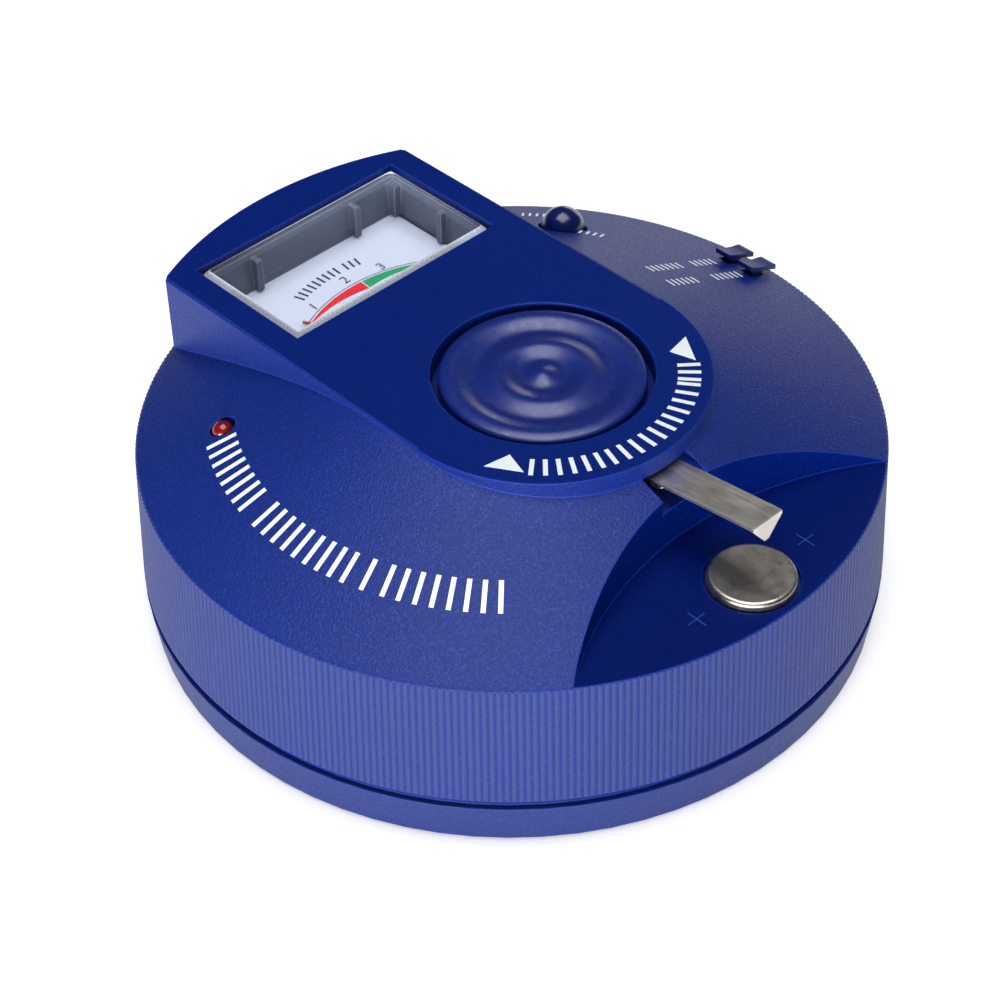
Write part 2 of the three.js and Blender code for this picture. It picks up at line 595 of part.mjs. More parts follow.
// The arm is built flat along -Y from its pin, then turned up by its rest tilt.
const armGroup = new THREE.Group();
armGroup.position.set(0, ARM_PIN_Y, ARM_PIN_Z);
armGroup.rotation.x = -ARM_TILT;
tester.add(armGroup);

function contactArm() {
  const under = ARM_SET - ARM_T;
  const strip = box(-ARM_HALF_W, ARM_HALF_W, -ARM_LENGTH, -0.2, under, ARM_SET);
  const lipShape = new THREE.Shape();
  lipShape.moveTo(-ARM_HALF_W, 0);
  lipShape.lineTo(-ARM_HALF_W, -ARM_T);
  lipShape.lineTo(-0.35, -ARM_LIP_H);
  lipShape.lineTo(0.35, -ARM_LIP_H);
  lipShape.lineTo(ARM_HALF_W, -ARM_T);
  lipShape.lineTo(ARM_HALF_W, 0);
  const lip = new THREE.ExtrudeGeometry(lipShape, { depth: ARM_T, bevelEnabled: false });
  lip.rotateX(Math.PI / 2 + ARM_TILT);
  lip.translate(0, -ARM_LENGTH, ARM_SET);
  return strip
    .add(solid(lip))
    .add(rodAlongX(ARM_EYE_R, -ARM_HALF_W, ARM_HALF_W, 0, 0))
    .subtract(rodAlongX(ARM_PIN_R + PIN_FIT, -ARM_HALF_W - 1, ARM_HALF_W + 1, 0, 0));
}
add('contact_arm', contactArm(), nickel, armGroup);

const armPinHalf = SLOT_HALF + 0.2 + EAR_W;
add('arm_pin', rodAlongX(ARM_PIN_R, -armPinHalf, armPinHalf, ARM_PIN_Y, ARM_PIN_Z), steel);

// A short coil spring stands in the trough under the arm and holds its tip up.
function armSpring() {
  const y = ARM_PIN_Y - ARM_SPRING_REACH;
  const z0 = SLOT_Z + ARM_SPRING_WIRE + TOUCH;
  const armUnder = ARM_PIN_Z + (ARM_SPRING_REACH - ARM_SPRING_R) * Math.sin(ARM_TILT) + ARM_SET - ARM_T;
  const z1 = armUnder - ARM_SPRING_WIRE - TOUCH;
  const points = [];
  const steps = 28;
  for (let i = 0; i <= steps; i += 1) {
    const t = i / steps;
    const a = t * 2.5 * Math.PI * 2;
    const r = ARM_SPRING_R - ARM_SPRING_WIRE;
    points.push(new THREE.Vector3(r * Math.cos(a), y + r * Math.sin(a), z0 + (z1 - z0) * t));
  }
  const section = new THREE.Shape();
  section.absarc(0, 0, ARM_SPRING_WIRE, 0, Math.PI * 2, false);
  return solid(new THREE.ExtrudeGeometry(section, {
    steps: 40,
    bevelEnabled: false,
    curveSegments: 3,
    extrudePath: new THREE.CatmullRomCurve3(points),
  }));
}
add('arm_spring', armSpring(), steel);

// ---- meter ---------------------------------------------------------------------------------
function roundedRect(x0, x1, y0, y1, r) {
  const shape = new THREE.Shape();
  shape.moveTo(x0 + r, y0);
  shape.lineTo(x1 - r, y0);
  shape.absarc(x1 - r, y0 + r, r, -Math.PI / 2, 0, false);
  shape.lineTo(x1, y1 - r);
  shape.absarc(x1 - r, y1 - r, r, 0, Math.PI / 2, false);
  shape.lineTo(x0 + r, y1);
  shape.absarc(x0 + r, y1 - r, r, Math.PI / 2, Math.PI, false);
  shape.lineTo(x0, y0 + r);
  shape.absarc(x0 + r, y0 + r, r, Math.PI, Math.PI * 1.5, false);
  return shape;
}

function meterWindow() {
  const shape = roundedRect(-WINDOW_HALF, WINDOW_HALF, WINDOW_Y0, WINDOW_Y1, WINDOW_CORNER);
  const geometry = new THREE.ExtrudeGeometry(shape, {
    depth: WALL,
    bevelThickness: WINDOW_BEVEL,
    bevelSize: WINDOW_BEVEL,
    bevelOffset: -WINDOW_BEVEL,
    bevelSegments: 1,
    curveSegments: 4,
  });
  geometry.translate(0, 0, PLATFORM_Z - WALL - WINDOW_BEVEL);
  const below = box(-40, 40, 0, 60, 0, PLATFORM_UNDER + TOUCH);
  return solid(geometry).subtract(below);
}
add('meter_window', meterWindow(), clearPlastic);

function meterCase() {
  const inHalf = METER_HALF - METER_WALL;
  const turretY = WINDOW_Y0 - 0.9;
  return box(-METER_HALF, METER_HALF, METER_FRONT_Y, METER_BACK_Y, METER_Z, METER_ROOF_Z)
    .add(box(-METER_HALF, METER_HALF, turretY, METER_BACK_Y, METER_Z, METER_TOP_Z))
    .subtract(box(-inHalf, inHalf, METER_FRONT_Y + METER_WALL, METER_BACK_Y - METER_WALL,
      METER_Z + METER_WALL, METER_ROOF_Z - METER_WALL))
    .subtract(box(-inHalf, inHalf, turretY + METER_WALL, METER_BACK_Y - METER_WALL,
      METER_Z + METER_WALL, METER_TOP_Z + 1));
}
add('meter_case', meterCase(), greyPlastic);

const DIAL_SCREW_X = 7;
const DIAL_SCREW_Y = DIAL_Y0 + 1.8;
const MAGNET_TOP = DIAL_Z - DIAL_T - TOUCH;
const MAGNET_Z = METER_Z + METER_WALL + TOUCH;
function dialHoles(body, r) {
  return [-1, 1].reduce(
    (rest, side) => rest.subtract(rod(r, METER_Z, METER_TOP_Z, side * DIAL_SCREW_X, DIAL_SCREW_Y, 16)),
    body,
  );
}
function meterDial() {
  const half = METER_HALF - METER_WALL - FIT;
  const plate = box(-half, half, DIAL_Y0, METER_BACK_Y - METER_WALL - FIT, DIAL_Z - DIAL_T, DIAL_Z);
  return dialHoles(plate, 0.9);
}
add('meter_dial', meterDial(), whiteCard);

function meterMagnet() {
  const y0 = METER_FRONT_Y + METER_WALL + 0.1;
  const block = box(-MAGNET_HALF_W, MAGNET_HALF_W, y0, y0 + MAGNET_L, MAGNET_Z, MAGNET_TOP);
  return dialHoles(block, 0.7)
    .subtract(rod(MAGNET_BORE_R, METER_Z, METER_TOP_Z, 0, NEEDLE_PIVOT_Y, 32));
}
add('meter_magnet', meterMagnet(), ferrite);

[-1, 1].forEach((side, i) => {
  const piece = screw(1.3, 0.6, 0.6, 3, 0.35);
  const mesh = add(`meter_screw_${i + 1}`, piece, steel);
  mesh.rotation.x = Math.PI;
  mesh.position.set(side * DIAL_SCREW_X, DIAL_SCREW_Y, DIAL_Z + TOUCH);
});

// Needle and coil share one spindle and stand at the low end of the scale.
const movement = new THREE.Group();
movement.position.set(0, NEEDLE_PIVOT_Y, 0);
movement.rotation.z = NEEDLE_REST;
tester.add(movement);

const COIL_TOP = MAGNET_TOP - 0.3;
const COIL_Z = MAGNET_Z + 0.4;
function meterCoil() {
  return box(-3.6, 3.6, -1.2, 1.2, COIL_Z, COIL_TOP)
    .subtract(box(-2.5, 2.5, -2, 2, COIL_Z + 1.1, COIL_TOP - 1.1));
}
add('meter_coil', meterCoil(), copper, movement);

function meterNeedle() {
  const shape = new THREE.Shape();
  shape.moveTo(-0.45, -4);
  shape.lineTo(0.45, -4);
  shape.lineTo(0.3, 8);
  shape.lineTo(0.15, NEEDLE_REACH);
  shape.lineTo(-0.15, NEEDLE_REACH);
  shape.lineTo(-0.3, 8);
  return rod(1.2, COIL_TOP + TOUCH, NEEDLE_Z + 0.7, 0, 0, 20)
    .add(extruded(shape, NEEDLE_Z, NEEDLE_Z + 0.35));
}
add('meter_needle', meterNeedle(), redPaint, movement);

// ---- lamp ----------------------------------------------------------------------------------
const LAMP_FLANGE_Z = deckZ(SIDE_R) - 5;
function lamp() {
  const domeZ = deckZ(SIDE_R) - 0.9;
  return turned([
    [0, LAMP_FLANGE_Z], [LAMP_R + 0.4, LAMP_FLANGE_Z], [LAMP_R + 0.4, LAMP_FLANGE_Z + 1],
    [LAMP_R, LAMP_FLANGE_Z + 1], ...arc(0, domeZ, LAMP_R, 0, 80, 6), [0, domeZ + LAMP_R],
  ], 28, lampAt[0], lampAt[1]);
}
add('led_lamp', lamp(), redLens);

function ledSpacer() {
  return rod(2.3, BOARD_TOP + TOUCH, LAMP_FLANGE_Z - TOUCH, lampAt[0], lampAt[1], 24)
    .subtract(rod(0.9, BOARD_TOP - 1, LAMP_FLANGE_Z + 1, lampAt[0], lampAt[1], 16));
}
add('led_spacer', ledSpacer(), blackPlastic);

// ---- round push button ---------------------------------------------------------------------
function powerButton() {
  const flangeR = POWER_HOLE_R + POWER_FLANGE;
  const flangeZ = -POWER_SKIRT - POWER_FLANGE_T;
  const dome = [];
  for (let i = 0; i < 7; i += 1) {
    const a = (i / 7) * (Math.PI / 2);
    dome.push([POWER_R * Math.cos(a), POWER_DOME_H * Math.sin(a)]);
  }
  return turned([
    [0, POWER_STEM_END], [POWER_STEM_R, POWER_STEM_END], [POWER_STEM_R, flangeZ], [flangeR, flangeZ],
    [flangeR, -POWER_SKIRT], [POWER_R, -POWER_SKIRT], ...dome, [0, POWER_DOME_H],
  ], 28);
}
add('power_button', powerButton(), darkBlue, powerGroup);

function powerSwitch() {
  return turned([
    [0, POWER_SWITCH_END], [POWER_HOLE_R, POWER_SWITCH_END], [POWER_HOLE_R, POWER_SWITCH_TOP],
    [0, POWER_SWITCH_TOP],
  ], 24);
}
add('power_switch', powerSwitch(), blackPlastic, powerGroup);

// A wedge on the board holds the switch square to its button.
function switchRiser() {
  const foot = new THREE.Vector3(0, 0, POWER_SWITCH_END).applyMatrix4(powerGroup.matrixWorld);
  return rod(POWER_HOLE_R + 0.6, BOARD_TOP + TOUCH, foot.z + 4, foot.x, foot.y, 24)
    .subtract(onPowerAxis([
      [0, POWER_SWITCH_END - FIT], [12, POWER_SWITCH_END - FIT], [12, 8], [0, 8],
    ], 16));
}
add('switch_riser', switchRiser(), blackPlastic);

// ---- test buttons at the rim ---------------------------------------------------------------
function testButton(y) {
  const z0 = deckZ(TEST_X0) + TEST_LIFT;
  const z1 = deckZ(TEST_X1) + TEST_LIFT;
  const head = new THREE.Shape();
  head.moveTo(TEST_X0, z0);
  head.lineTo(TEST_X1, z1);
  head.lineTo(TEST_X1, z1 + TEST_HEAD_H * 0.8);
  head.quadraticCurveTo(TEST_X1, z1 + TEST_HEAD_H * 1.3, TEST_X1 - 1, z1 + TEST_HEAD_H * 1.45);
  const saddleZ = (z0 + z1) / 2 + TEST_HEAD_H * 0.5;
  head.quadraticCurveTo((TEST_X0 + TEST_X1) / 2, saddleZ, TEST_X0, z0 + TEST_HEAD_H);
  const stem = box(TEST_STEM_X - TEST_STEM_L / 2, TEST_STEM_X + TEST_STEM_L / 2,
    y - TEST_STEM_HALF_W, y + TEST_STEM_HALF_W, TEST_STEM_Z, deckZ(TEST_STEM_X) + TEST_LIFT + 0.6);
  const foot = box(TEST_STEM_X - TEST_STEM_L / 2, TEST_STEM_X + TEST_STEM_L / 2,
    y - TEST_STEM_HALF_W - TEST_FOOT_OUT, y + TEST_STEM_HALF_W + TEST_FOOT_OUT,
    TEST_STEM_Z, TEST_STEM_Z + TEST_FOOT_T);
  return profiled(head, y - TEST_HALF_W, y + TEST_HALF_W).add(stem).add(foot);
}
['a', 'b'].forEach((letter, i) => {
  const y = (0.5 - i) * TEST_PITCH;
  add(`test_button_${letter}`, testButton(y), darkBlue);
  const body = box(BOARD_R - 0.5 - TEST_SWITCH_L, BOARD_R - 0.5, y - TEST_SWITCH_HALF_W,
    y + TEST_SWITCH_HALF_W, BOARD_TOP + TOUCH, TEST_SWITCH_TOP);
  add(`test_switch_${letter}`, body, blackPlastic);
});

// ---- circuit board and cells ---------------------------------------------------------------
function circuitBoard() {
  let board = rod(BOARD_R, BOARD_Z, BOARD_TOP, 0, 0, 48);
  for (const [x, y] of caseScrewPlaces) {
    board = board.subtract(rod(POST_R + 0.5, BOARD_Z - 1, BOARD_TOP + 1, x, y, 24));
  }
  for (const side of [-1, 1]) {
    board = board.subtract(rod(1.3, BOARD_Z - 1, BOARD_TOP + 1, side * BOARD_POST_X, 0, 20));
  }
  return board;
}
add('circuit_board', circuitBoard(), boardGreen);

[-1, 1].forEach((side, i) => {
  const mesh = add(`board_screw_${i + 1}`, screw(2.3, 1.2, 1.0, 7, 0.6), steel);
  mesh.rotation.x = Math.PI;
  mesh.position.set(side * BOARD_POST_X, 0, BOARD_TOP + TOUCH);
});

function cell(y, nose) {
  const half = CELL_L / 2;
  const body = rodAlongX(CELL_R, -half + (nose < 0 ? 1 : 0), half - (nose > 0 ? 1 : 0), y, CELL_Z, 32);
  return body.add(rodAlongX(1.9, Math.min(0, nose * half), Math.max(0, nose * half), y, CELL_Z, 20));
}
add('battery_cell_a', cell(CELL_PITCH / 2, 1), cellJacket);
add('battery_cell_b', cell(-CELL_PITCH / 2, -1), cellJacket);

const CONTACT_T = 0.4;
function cellContact(side, y0, y1) {
  const x = side * (BAY_HALF_X - CONTACT_T / 2 - TOUCH);
  return box(x - CONTACT_T / 2, x + CONTACT_T / 2, y0, y1, FLOOR_Z, CELL_Z + 4);
}
const contactHalf = CELL_R - 0.6;
add('cell_contact_a', cellContact(1, CELL_PITCH / 2 - contactHalf, CELL_PITCH / 2 + contactHalf), nickel);
add('cell_contact_b', cellContact(1, -CELL_PITCH / 2 - contactHalf, -CELL_PITCH / 2 + contactHalf), nickel);
add('cell_bridge', cellContact(-1, -CELL_PITCH / 2 - contactHalf, CELL_PITCH / 2 + contactHalf), nickel);

export default tester;
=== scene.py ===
import math

import bmesh
import bpy
from mathutils import Matrix, Vector


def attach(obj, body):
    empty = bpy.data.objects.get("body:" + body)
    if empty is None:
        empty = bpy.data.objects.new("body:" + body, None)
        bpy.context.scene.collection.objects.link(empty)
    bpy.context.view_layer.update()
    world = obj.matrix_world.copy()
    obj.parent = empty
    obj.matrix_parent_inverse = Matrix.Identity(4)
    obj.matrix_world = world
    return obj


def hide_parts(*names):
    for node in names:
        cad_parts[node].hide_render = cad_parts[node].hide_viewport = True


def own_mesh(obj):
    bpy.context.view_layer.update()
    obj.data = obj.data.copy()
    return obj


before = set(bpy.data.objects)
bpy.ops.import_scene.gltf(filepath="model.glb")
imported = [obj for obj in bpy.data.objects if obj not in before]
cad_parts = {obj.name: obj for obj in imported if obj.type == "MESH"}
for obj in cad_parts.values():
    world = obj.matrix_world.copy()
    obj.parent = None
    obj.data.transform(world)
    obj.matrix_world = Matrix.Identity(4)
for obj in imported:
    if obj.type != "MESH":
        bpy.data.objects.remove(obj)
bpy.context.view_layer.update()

# ---- upper housing ---------------------------------------------------------------------------
# The round blue top shell with its conical deck, the raised meter platform and the contact
# recess. Injection-moulded ABS, spark-eroded outside, 2.2 mm walls. Drops over the base spigot
# and is drawn down by four screws.
TURN = 360  # facets round the shell
RIM_R, RIM_Z = 50.0, 26.4
SKIRT_R, SKIRT_LOW_Z = 50.9, 7.7
RIB_PROUD = 0.11
DECK_IN_R, DECK_IN_Z = 22.0, 38.3
DECK_SLOPE = (DECK_IN_Z - RIM_Z) / (RIM_R - DECK_IN_R)
WALL = 2.2
RIM_ROUND = 0.35
PLATFORM_Z, PLATFORM_HALF, PLATFORM_ROUND = 38.5, 22.0, 0.45
PLATFORM_BACK_R = 49.5
PAD_Y, PAD_HOLE_R, PAD_SEAT_Z, PAD_SEAT_HOLE_R = -6.0, 14.6, 35.25, 11.5
PAD_TUBE_R, PAD_TUBE_LOW = 16.4, 33.65
RECESS_R, RECESS_Y = 49.7, -80.7
DISC_Y, POCKET_R, POCKET_Z, STUD_HOLE_R = -42.8, 6.2, 25.4, 1.7
SLOT_HALF, SLOT_BACK, SLOT_FLOOR, SLOT_ROOF = 4, -22.7, 32.0, 35.9
LAMP_HOLE_R, KNOB_HOLE_R, STEM_X, STEM_Y = 1.75, 3.6, (44.2, 47.0), (1.1, 3.1)
SKIRT_IN_R = 48.6
ABOVE = 60  # clear of the whole shell
SIDE_X, SIDE_Y = 31.4, 21.58
TILT = math.atan(DECK_SLOPE)
WINDOW = (-17.9, 17.9, 21.64, 42.84)


def deck_z(r):
    return RIM_Z + DECK_SLOPE * (RIM_R - r)


def part_from(name, bm):
    bmesh.ops.remove_doubles(bm, verts=bm.verts, dist=1e-5)
    bmesh.ops.recalc_face_normals(bm, faces=bm.faces)
    mesh = bpy.data.meshes.new(name)
    bm.to_mesh(mesh)
    bm.free()
    part = bpy.data.objects.new(name, mesh)
    bpy.context.scene.collection.objects.link(part)
    return part


def turned(name, profile, facets=96, place=Matrix.Identity(4)):
    """A turned solid from (radius, height) points that start and end on the axis."""
    bm = bmesh.new()
    rows = []
    for r, z in profile:
        count = facets if r > 0 else 1
        rows.append([
            bm.verts.new(place @ Vector((
                r * math.cos(math.tau * i / facets), r * math.sin(math.tau * i / facets), z)))
            for i in range(count)
        ])
    for low, high in zip(rows, rows[1:]):
        for i in range(facets):
            j = (i + 1) % facets
            corners = list(dict.fromkeys((low[i % len(low)], low[j % len(low)],
                                          high[j % len(high)], high[i % len(high)])))
            if len(corners) > 2:
                bm.faces.new(corners)
    return part_from(name, bm)


def prism(name, outline, low, high, soft=0.0, steps=4):
    """An upright solid on an outline, with its top edge rounded by soft."""
    bm = bmesh.new()
    floor = bm.faces.new([bm.verts.new((x, y, low)) for x, y in outline])
    grown = bmesh.ops.extrude_face_region(bm, geom=[floor])["geom"]
    top = [v for v in grown if isinstance(v, bmesh.types.BMVert)]
    for v in top:
        v.co.z = high
    if soft:
        rim = [e for e in grown if isinstance(e, bmesh.types.BMEdge)]
        bmesh.ops.bevel(bm, geom=rim, offset=soft, segments=steps, profile=0.5, affect="EDGES")
    return part_from(name, bm)


def slab(name, x0, x1, y0, y1, low, high, soft=0.0):
    return prism(name, [(x0, y0), (x1, y0), (x1, y1), (x0, y1)], low, high, soft)


def arc(cx, cy, r, start, end, steps):
    return [
        (cx + r * math.cos(math.radians(start + (end - start) * i / steps)),
         cy + r * math.sin(math.radians(start + (end - start) * i / steps)))
        for i in range(steps + 1)
    ]


def settle(part):
    """Bakes the part's modifiers into its mesh."""
    graph = bpy.context.evaluated_depsgraph_get()
    mesh = bpy.data.meshes.new_from_object(part.evaluated_get(graph))
    part.modifiers.clear()
    part.data = mesh


def worked(part, how, *tools):
    """Joins the tools to the part, or cuts them out of it."""
    for tool in tools:
        step = part.modifiers.new("work", "BOOLEAN")
        step.operation = how
        step.solver = "MANIFOLD"
        step.object = tool
        settle(part)
        bpy.data.objects.remove(tool)
    return part


def done(part, finish, body, slot, *nodes, sharp=30, even=False, scale=0.001):
    """Brings the part to metres, shades it and hands it to its body."""
    part.data.transform(Matrix.Scale(scale, 4))
    part.data.materials.clear()
    part.data.materials.append(finish)
    part.data.polygons.foreach_set("use_smooth", [True] * len(part.data.polygons))
    part.data.set_sharp_from_angle(angle=math.radians(sharp))
    if even:
        normals = part.modifiers.new("even", "WEIGHTED_NORMAL")
        normals.keep_sharp = True
    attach(part, body)
    if nodes:
        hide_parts(*nodes)
    return part


def node(tree, kind, **values):
    n = tree.nodes.new(kind)
    for key, value in values.items():
        if key in n.inputs:
            n.inputs[key].default_value = value
        else:
            setattr(n, key, value)
    return n


def effect(name, inputs, outputs):
    tree = bpy.data.node_groups.new(name, "ShaderNodeTree")
    for label, kind, value in inputs:
        socket = tree.interface.new_socket(label, in_out="INPUT", socket_type="NodeSocket" + kind)
        if value is not None:
            socket.default_value = value
    for label, kind in outputs:
        tree.interface.new_socket(label, in_out="OUTPUT", socket_type="NodeSocket" + kind)
    return tree, tree.nodes.new("NodeGroupInput"), tree.nodes.new("NodeGroupOutput")


def sums(tree, operation, a, b, clamp=False):
    n = tree.nodes.new("ShaderNodeMath")
    n.operation = operation
    n.use_clamp = clamp
    for socket, value in zip(n.inputs, (a, b)):
        if isinstance(value, bpy.types.NodeSocket):
            tree.links.new(value, socket)
        else:
            socket.default_value = value
    return n.outputs[0]


# Spark-eroded grain: fine pits at one size with softer hollows under them, and a fleck mask.
grain, grain_in, grain_out = effect(
    "eroded_grain",
    [("Vector", "Vector", None), ("Scale", "Float", 5200.0), ("Softness", "Float", 0.35)],
    [("Height", "Float"), ("Fleck", "Float"), ("Cloud", "Float")])
fine = node(grain, "ShaderNodeTexNoise", Detail=2.0, Roughness=0.6)
pits = node(grain, "ShaderNodeTexVoronoi", feature="SMOOTH_F1", Smoothness=0.4)
cloud = node(grain, "ShaderNodeTexNoise", Scale=45.0, Detail=3.0)
for n in (fine, pits, cloud):
    grain.links.new(grain_in.outputs["Vector"], n.inputs["Vector"])
grain.links.new(grain_in.outputs["Scale"], fine.inputs["Scale"])
grain.links.new(sums(grain, "MULTIPLY", grain_in.outputs["Scale"], 1.3), pits.inputs["Scale"])
soft = sums(grain, "MULTIPLY", pits.outputs["Distance"], grain_in.outputs["Softness"])
grain.links.new(sums(grain, "ADD", fine.outputs[0], soft), grain_out.inputs["Height"])
fleck = node(grain, "ShaderNodeMapRange", **{"From Min": 0.5, "From Max": 0.66})
grain.links.new(fine.outputs[0], fleck.inputs["Value"])
grain.links.new(fleck.outputs[0], grain_out.inputs["Fleck"])
grain.links.new(cloud.outputs[0], grain_out.inputs["Cloud"])

# Rounded edge: the small radius that polishing leaves on an edge, with a mask of where it is. The
# finishes lay a lighter painted highlight along that mask.
rounded, rounded_in, rounded_out = effect(
    "rounded_edge", [("Radius", "Float", 0.0003)], [("Normal", "Vector"), ("Edge", "Float")])
bevel = node(rounded, "ShaderNodeBevel", samples=6)
flat = node(rounded, "ShaderNodeNewGeometry")
turn = node(rounded, "ShaderNodeVectorMath", operation="DOT_PRODUCT")
rounded.links.new(rounded_in.outputs["Radius"], bevel.inputs["Radius"])
rounded.links.new(bevel.outputs[0], turn.inputs[0])
rounded.links.new(flat.outputs["Normal"], turn.inputs[1])
edge = node(rounded, "ShaderNodeMapRange", **{
    "From Min": 0.99, "From Max": 0.85, "To Min": 0.0, "To Max": 1.0})
rounded.links.new(turn.outputs["Value"], edge.inputs["Value"])
rounded.links.new(edge.outputs[0], rounded_out.inputs["Edge"])
rounded.links.new(bevel.outputs[0], rounded_out.inputs["Normal"])


def moulded(name, deep, fleck_colour, highlight_colour, roughness, depth, scale=5200.0, radius=0.0003,
            spread=0.1, coat=0.0, shine=0.32):
    """A moulded plastic finish: grain, flecks, slow colour drift and a lighter painted highlight
    along rounded edges.
    """
    finish = bpy.data.materials.new(name)
    finish.use_nodes = True
    tree = finish.node_tree
    shader = tree.nodes["Principled BSDF"]
    shader.inputs["IOR"].default_value = 1.5
    shader.inputs["Specular IOR Level"].default_value = shine
    shader.inputs["Coat Weight"].default_value = coat
    shader.inputs["Coat Roughness"].default_value = 0.2
    place = node(tree, "ShaderNodeTexCoord")
    texture = node(tree, "ShaderNodeGroup", node_tree=grain)
    texture.inputs["Scale"].default_value = scale
    edges = node(tree, "ShaderNodeGroup", node_tree=rounded)
    edges.inputs["Radius"].default_value = radius
    tree.links.new(place.outputs["Object"], texture.inputs["Vector"])
    speckled = node(tree, "ShaderNodeMix", data_type="RGBA")
    speckled.inputs[6].default_value = (*deep, 1)
    speckled.inputs[7].default_value = (*fleck_colour, 1)
    tree.links.new(texture.outputs["Fleck"], speckled.inputs[0])
    drift = node(tree, "ShaderNodeHueSaturation")
    value = sums(tree, "MULTIPLY_ADD", texture.outputs["Cloud"], spread * 2)
    value.node.inputs[2].default_value = 1 - spread
    tree.links.new(value, drift.inputs["Value"])
    tree.links.new(speckled.outputs[2], drift.inputs["Color"])
    # Painted highlight: the edge mask mixes a lighter colour onto rounded edges.
    edge_highlight = node(tree, "ShaderNodeMix", data_type="RGBA")
    edge_highlight.inputs[7].default_value = (*highlight_colour, 1)
    tree.links.new(edges.outputs["Edge"], edge_highlight.inputs[0])
    tree.links.new(drift.outputs[0], edge_highlight.inputs[6])
    tree.links.new(edge_highlight.outputs[2], shader.inputs["Base Color"])
    rough = sums(tree, "MULTIPLY_ADD", texture.outputs["Fleck"], -0.1)
    rough.node.inputs[2].default_value = roughness + 0.05
    tree.links.new(rough, shader.inputs["Roughness"])
    bump = node(tree, "ShaderNodeBump", Strength=depth, Distance=0.0001)
    tree.links.new(texture.outputs["Height"], bump.inputs["Height"])
    tree.links.new(edges.outputs["Normal"], bump.inputs["Normal"])
    tree.links.new(bump.outputs[0], shader.inputs["Normal"])
    return finish


# The deck and walls are eroded coarsely; the platform top and the recess are finer, and their
# colours are painted darker as shade, the recess darkest.
# Lighter blue painted along rounded edges as a highlight.
EDGE_HIGHLIGHT_BLUE = (0.008, 0.04, 0.42)
blue_shell = moulded("eroded_blue", (0.001, 0.0145, 0.16), (0.004, 0.028, 0.24), EDGE_HIGHLIGHT_BLUE,
                     0.42, 0.8, scale=3000.0, shine=0.3)
platform_shade_blue = moulded("platform_shade_blue", (0.0006, 0.013, 0.155), (0.002, 0.02, 0.2), EDGE_HIGHLIGHT_BLUE,
                        0.4, 0.5, scale=4200.0, shine=0.07)
recess_shade_blue = moulded("recess_shade_blue", (0.0002, 0.007, 0.105), (0.001, 0.014, 0.15), EDGE_HIGHLIGHT_BLUE,
                      0.4, 0.5, scale=3600.0, shine=0.05)

rim_turn = [
    (RIM_R - RIB_PROUD - RIM_ROUND + RIM_ROUND * math.cos(math.radians(a)),
     RIM_Z + 0.1 - RIM_ROUND + RIM_ROUND * math.sin(math.radians(a)))
    for a in (0, 16, 33, 50, 67)
]
outside = [(0, SKIRT_LOW_Z), (SKIRT_R - RIB_PROUD - 0.15, SKIRT_LOW_Z),
           (SKIRT_R - RIB_PROUD, SKIRT_LOW_Z + 0.15)] + rim_turn + [
    (49.0, deck_z(49.0)), (36.0, deck_z(36.0)), (DECK_IN_R + 0.5, deck_z(DECK_IN_R + 0.5)),
    (DECK_IN_R, DECK_IN_Z), (0, DECK_IN_Z)]
housing = turned("upper_shell", outside, TURN)
front = arc(0, PAD_Y, PLATFORM_HALF, 180, 360, 120)
back_angle = math.degrees(math.acos(PLATFORM_HALF / PLATFORM_BACK_R))
back = arc(0, 0, PLATFORM_BACK_R, back_angle, 180 - back_angle, 80)
worked(housing, "UNION", prism("platform", front + back, 20, PLATFORM_Z, PLATFORM_ROUND, 5))
worked(housing, "DIFFERENCE",
       prism("recess", arc(0, RECESS_Y, RECESS_R, 0, 359, 359), RIM_Z, ABOVE))
drop = WALL / math.cos(TILT)
inside = turned("hollow", [
    (0, 0), (SKIRT_IN_R, 0), (SKIRT_IN_R, 20), (RIM_R - WALL, deck_z(RIM_R - WALL) - drop),
    (DECK_IN_R, DECK_IN_Z - drop), (0, DECK_IN_Z - drop)], 180)
inner_front = arc(0, PAD_Y, PLATFORM_HALF - WALL, 180, 360, 60)
inner_back = arc(0, 0, PLATFORM_BACK_R - WALL, 63.0, 117.0, 40)
worked(inside, "UNION", prism("platform_hollow", inner_front + inner_back, 10, PLATFORM_Z - WALL))
worked(inside, "DIFFERENCE",
       prism("recess_wall", arc(0, RECESS_Y, RECESS_R + WALL, 0, 358, 179), RIM_Z - WALL, ABOVE),
       slab("slot_block", -SLOT_HALF - 2, SLOT_HALF + 2, -34, -21, SLOT_FLOOR - WALL, ABOVE),
       turned("pad_tube", [(0, PAD_TUBE_LOW), (PAD_TUBE_R, PAD_TUBE_LOW), (PAD_TUBE_R, ABOVE),
                           (0, ABOVE)], 120, Matrix.Translation((0, PAD_Y, 0))))
worked(housing, "DIFFERENCE", inside)
outward = Vector((SIDE_X, SIDE_Y, 0)).normalized()
along_normal = outward * math.sin(TILT) + Vector((0, 0, math.cos(TILT)))
knob_place = (Matrix.Translation((SIDE_X, SIDE_Y, deck_z(math.hypot(SIDE_X, SIDE_Y))))
              @ Vector((0, 0, 1)).rotation_difference(along_normal).to_matrix().to_4x4())


def drill(r, low, high, x=0.0, y=0.0, facets=96):
    return turned("drill", [(0, low), (r, low), (r, high), (0, high)], facets,
                  Matrix.Translation((x, y, 0)))


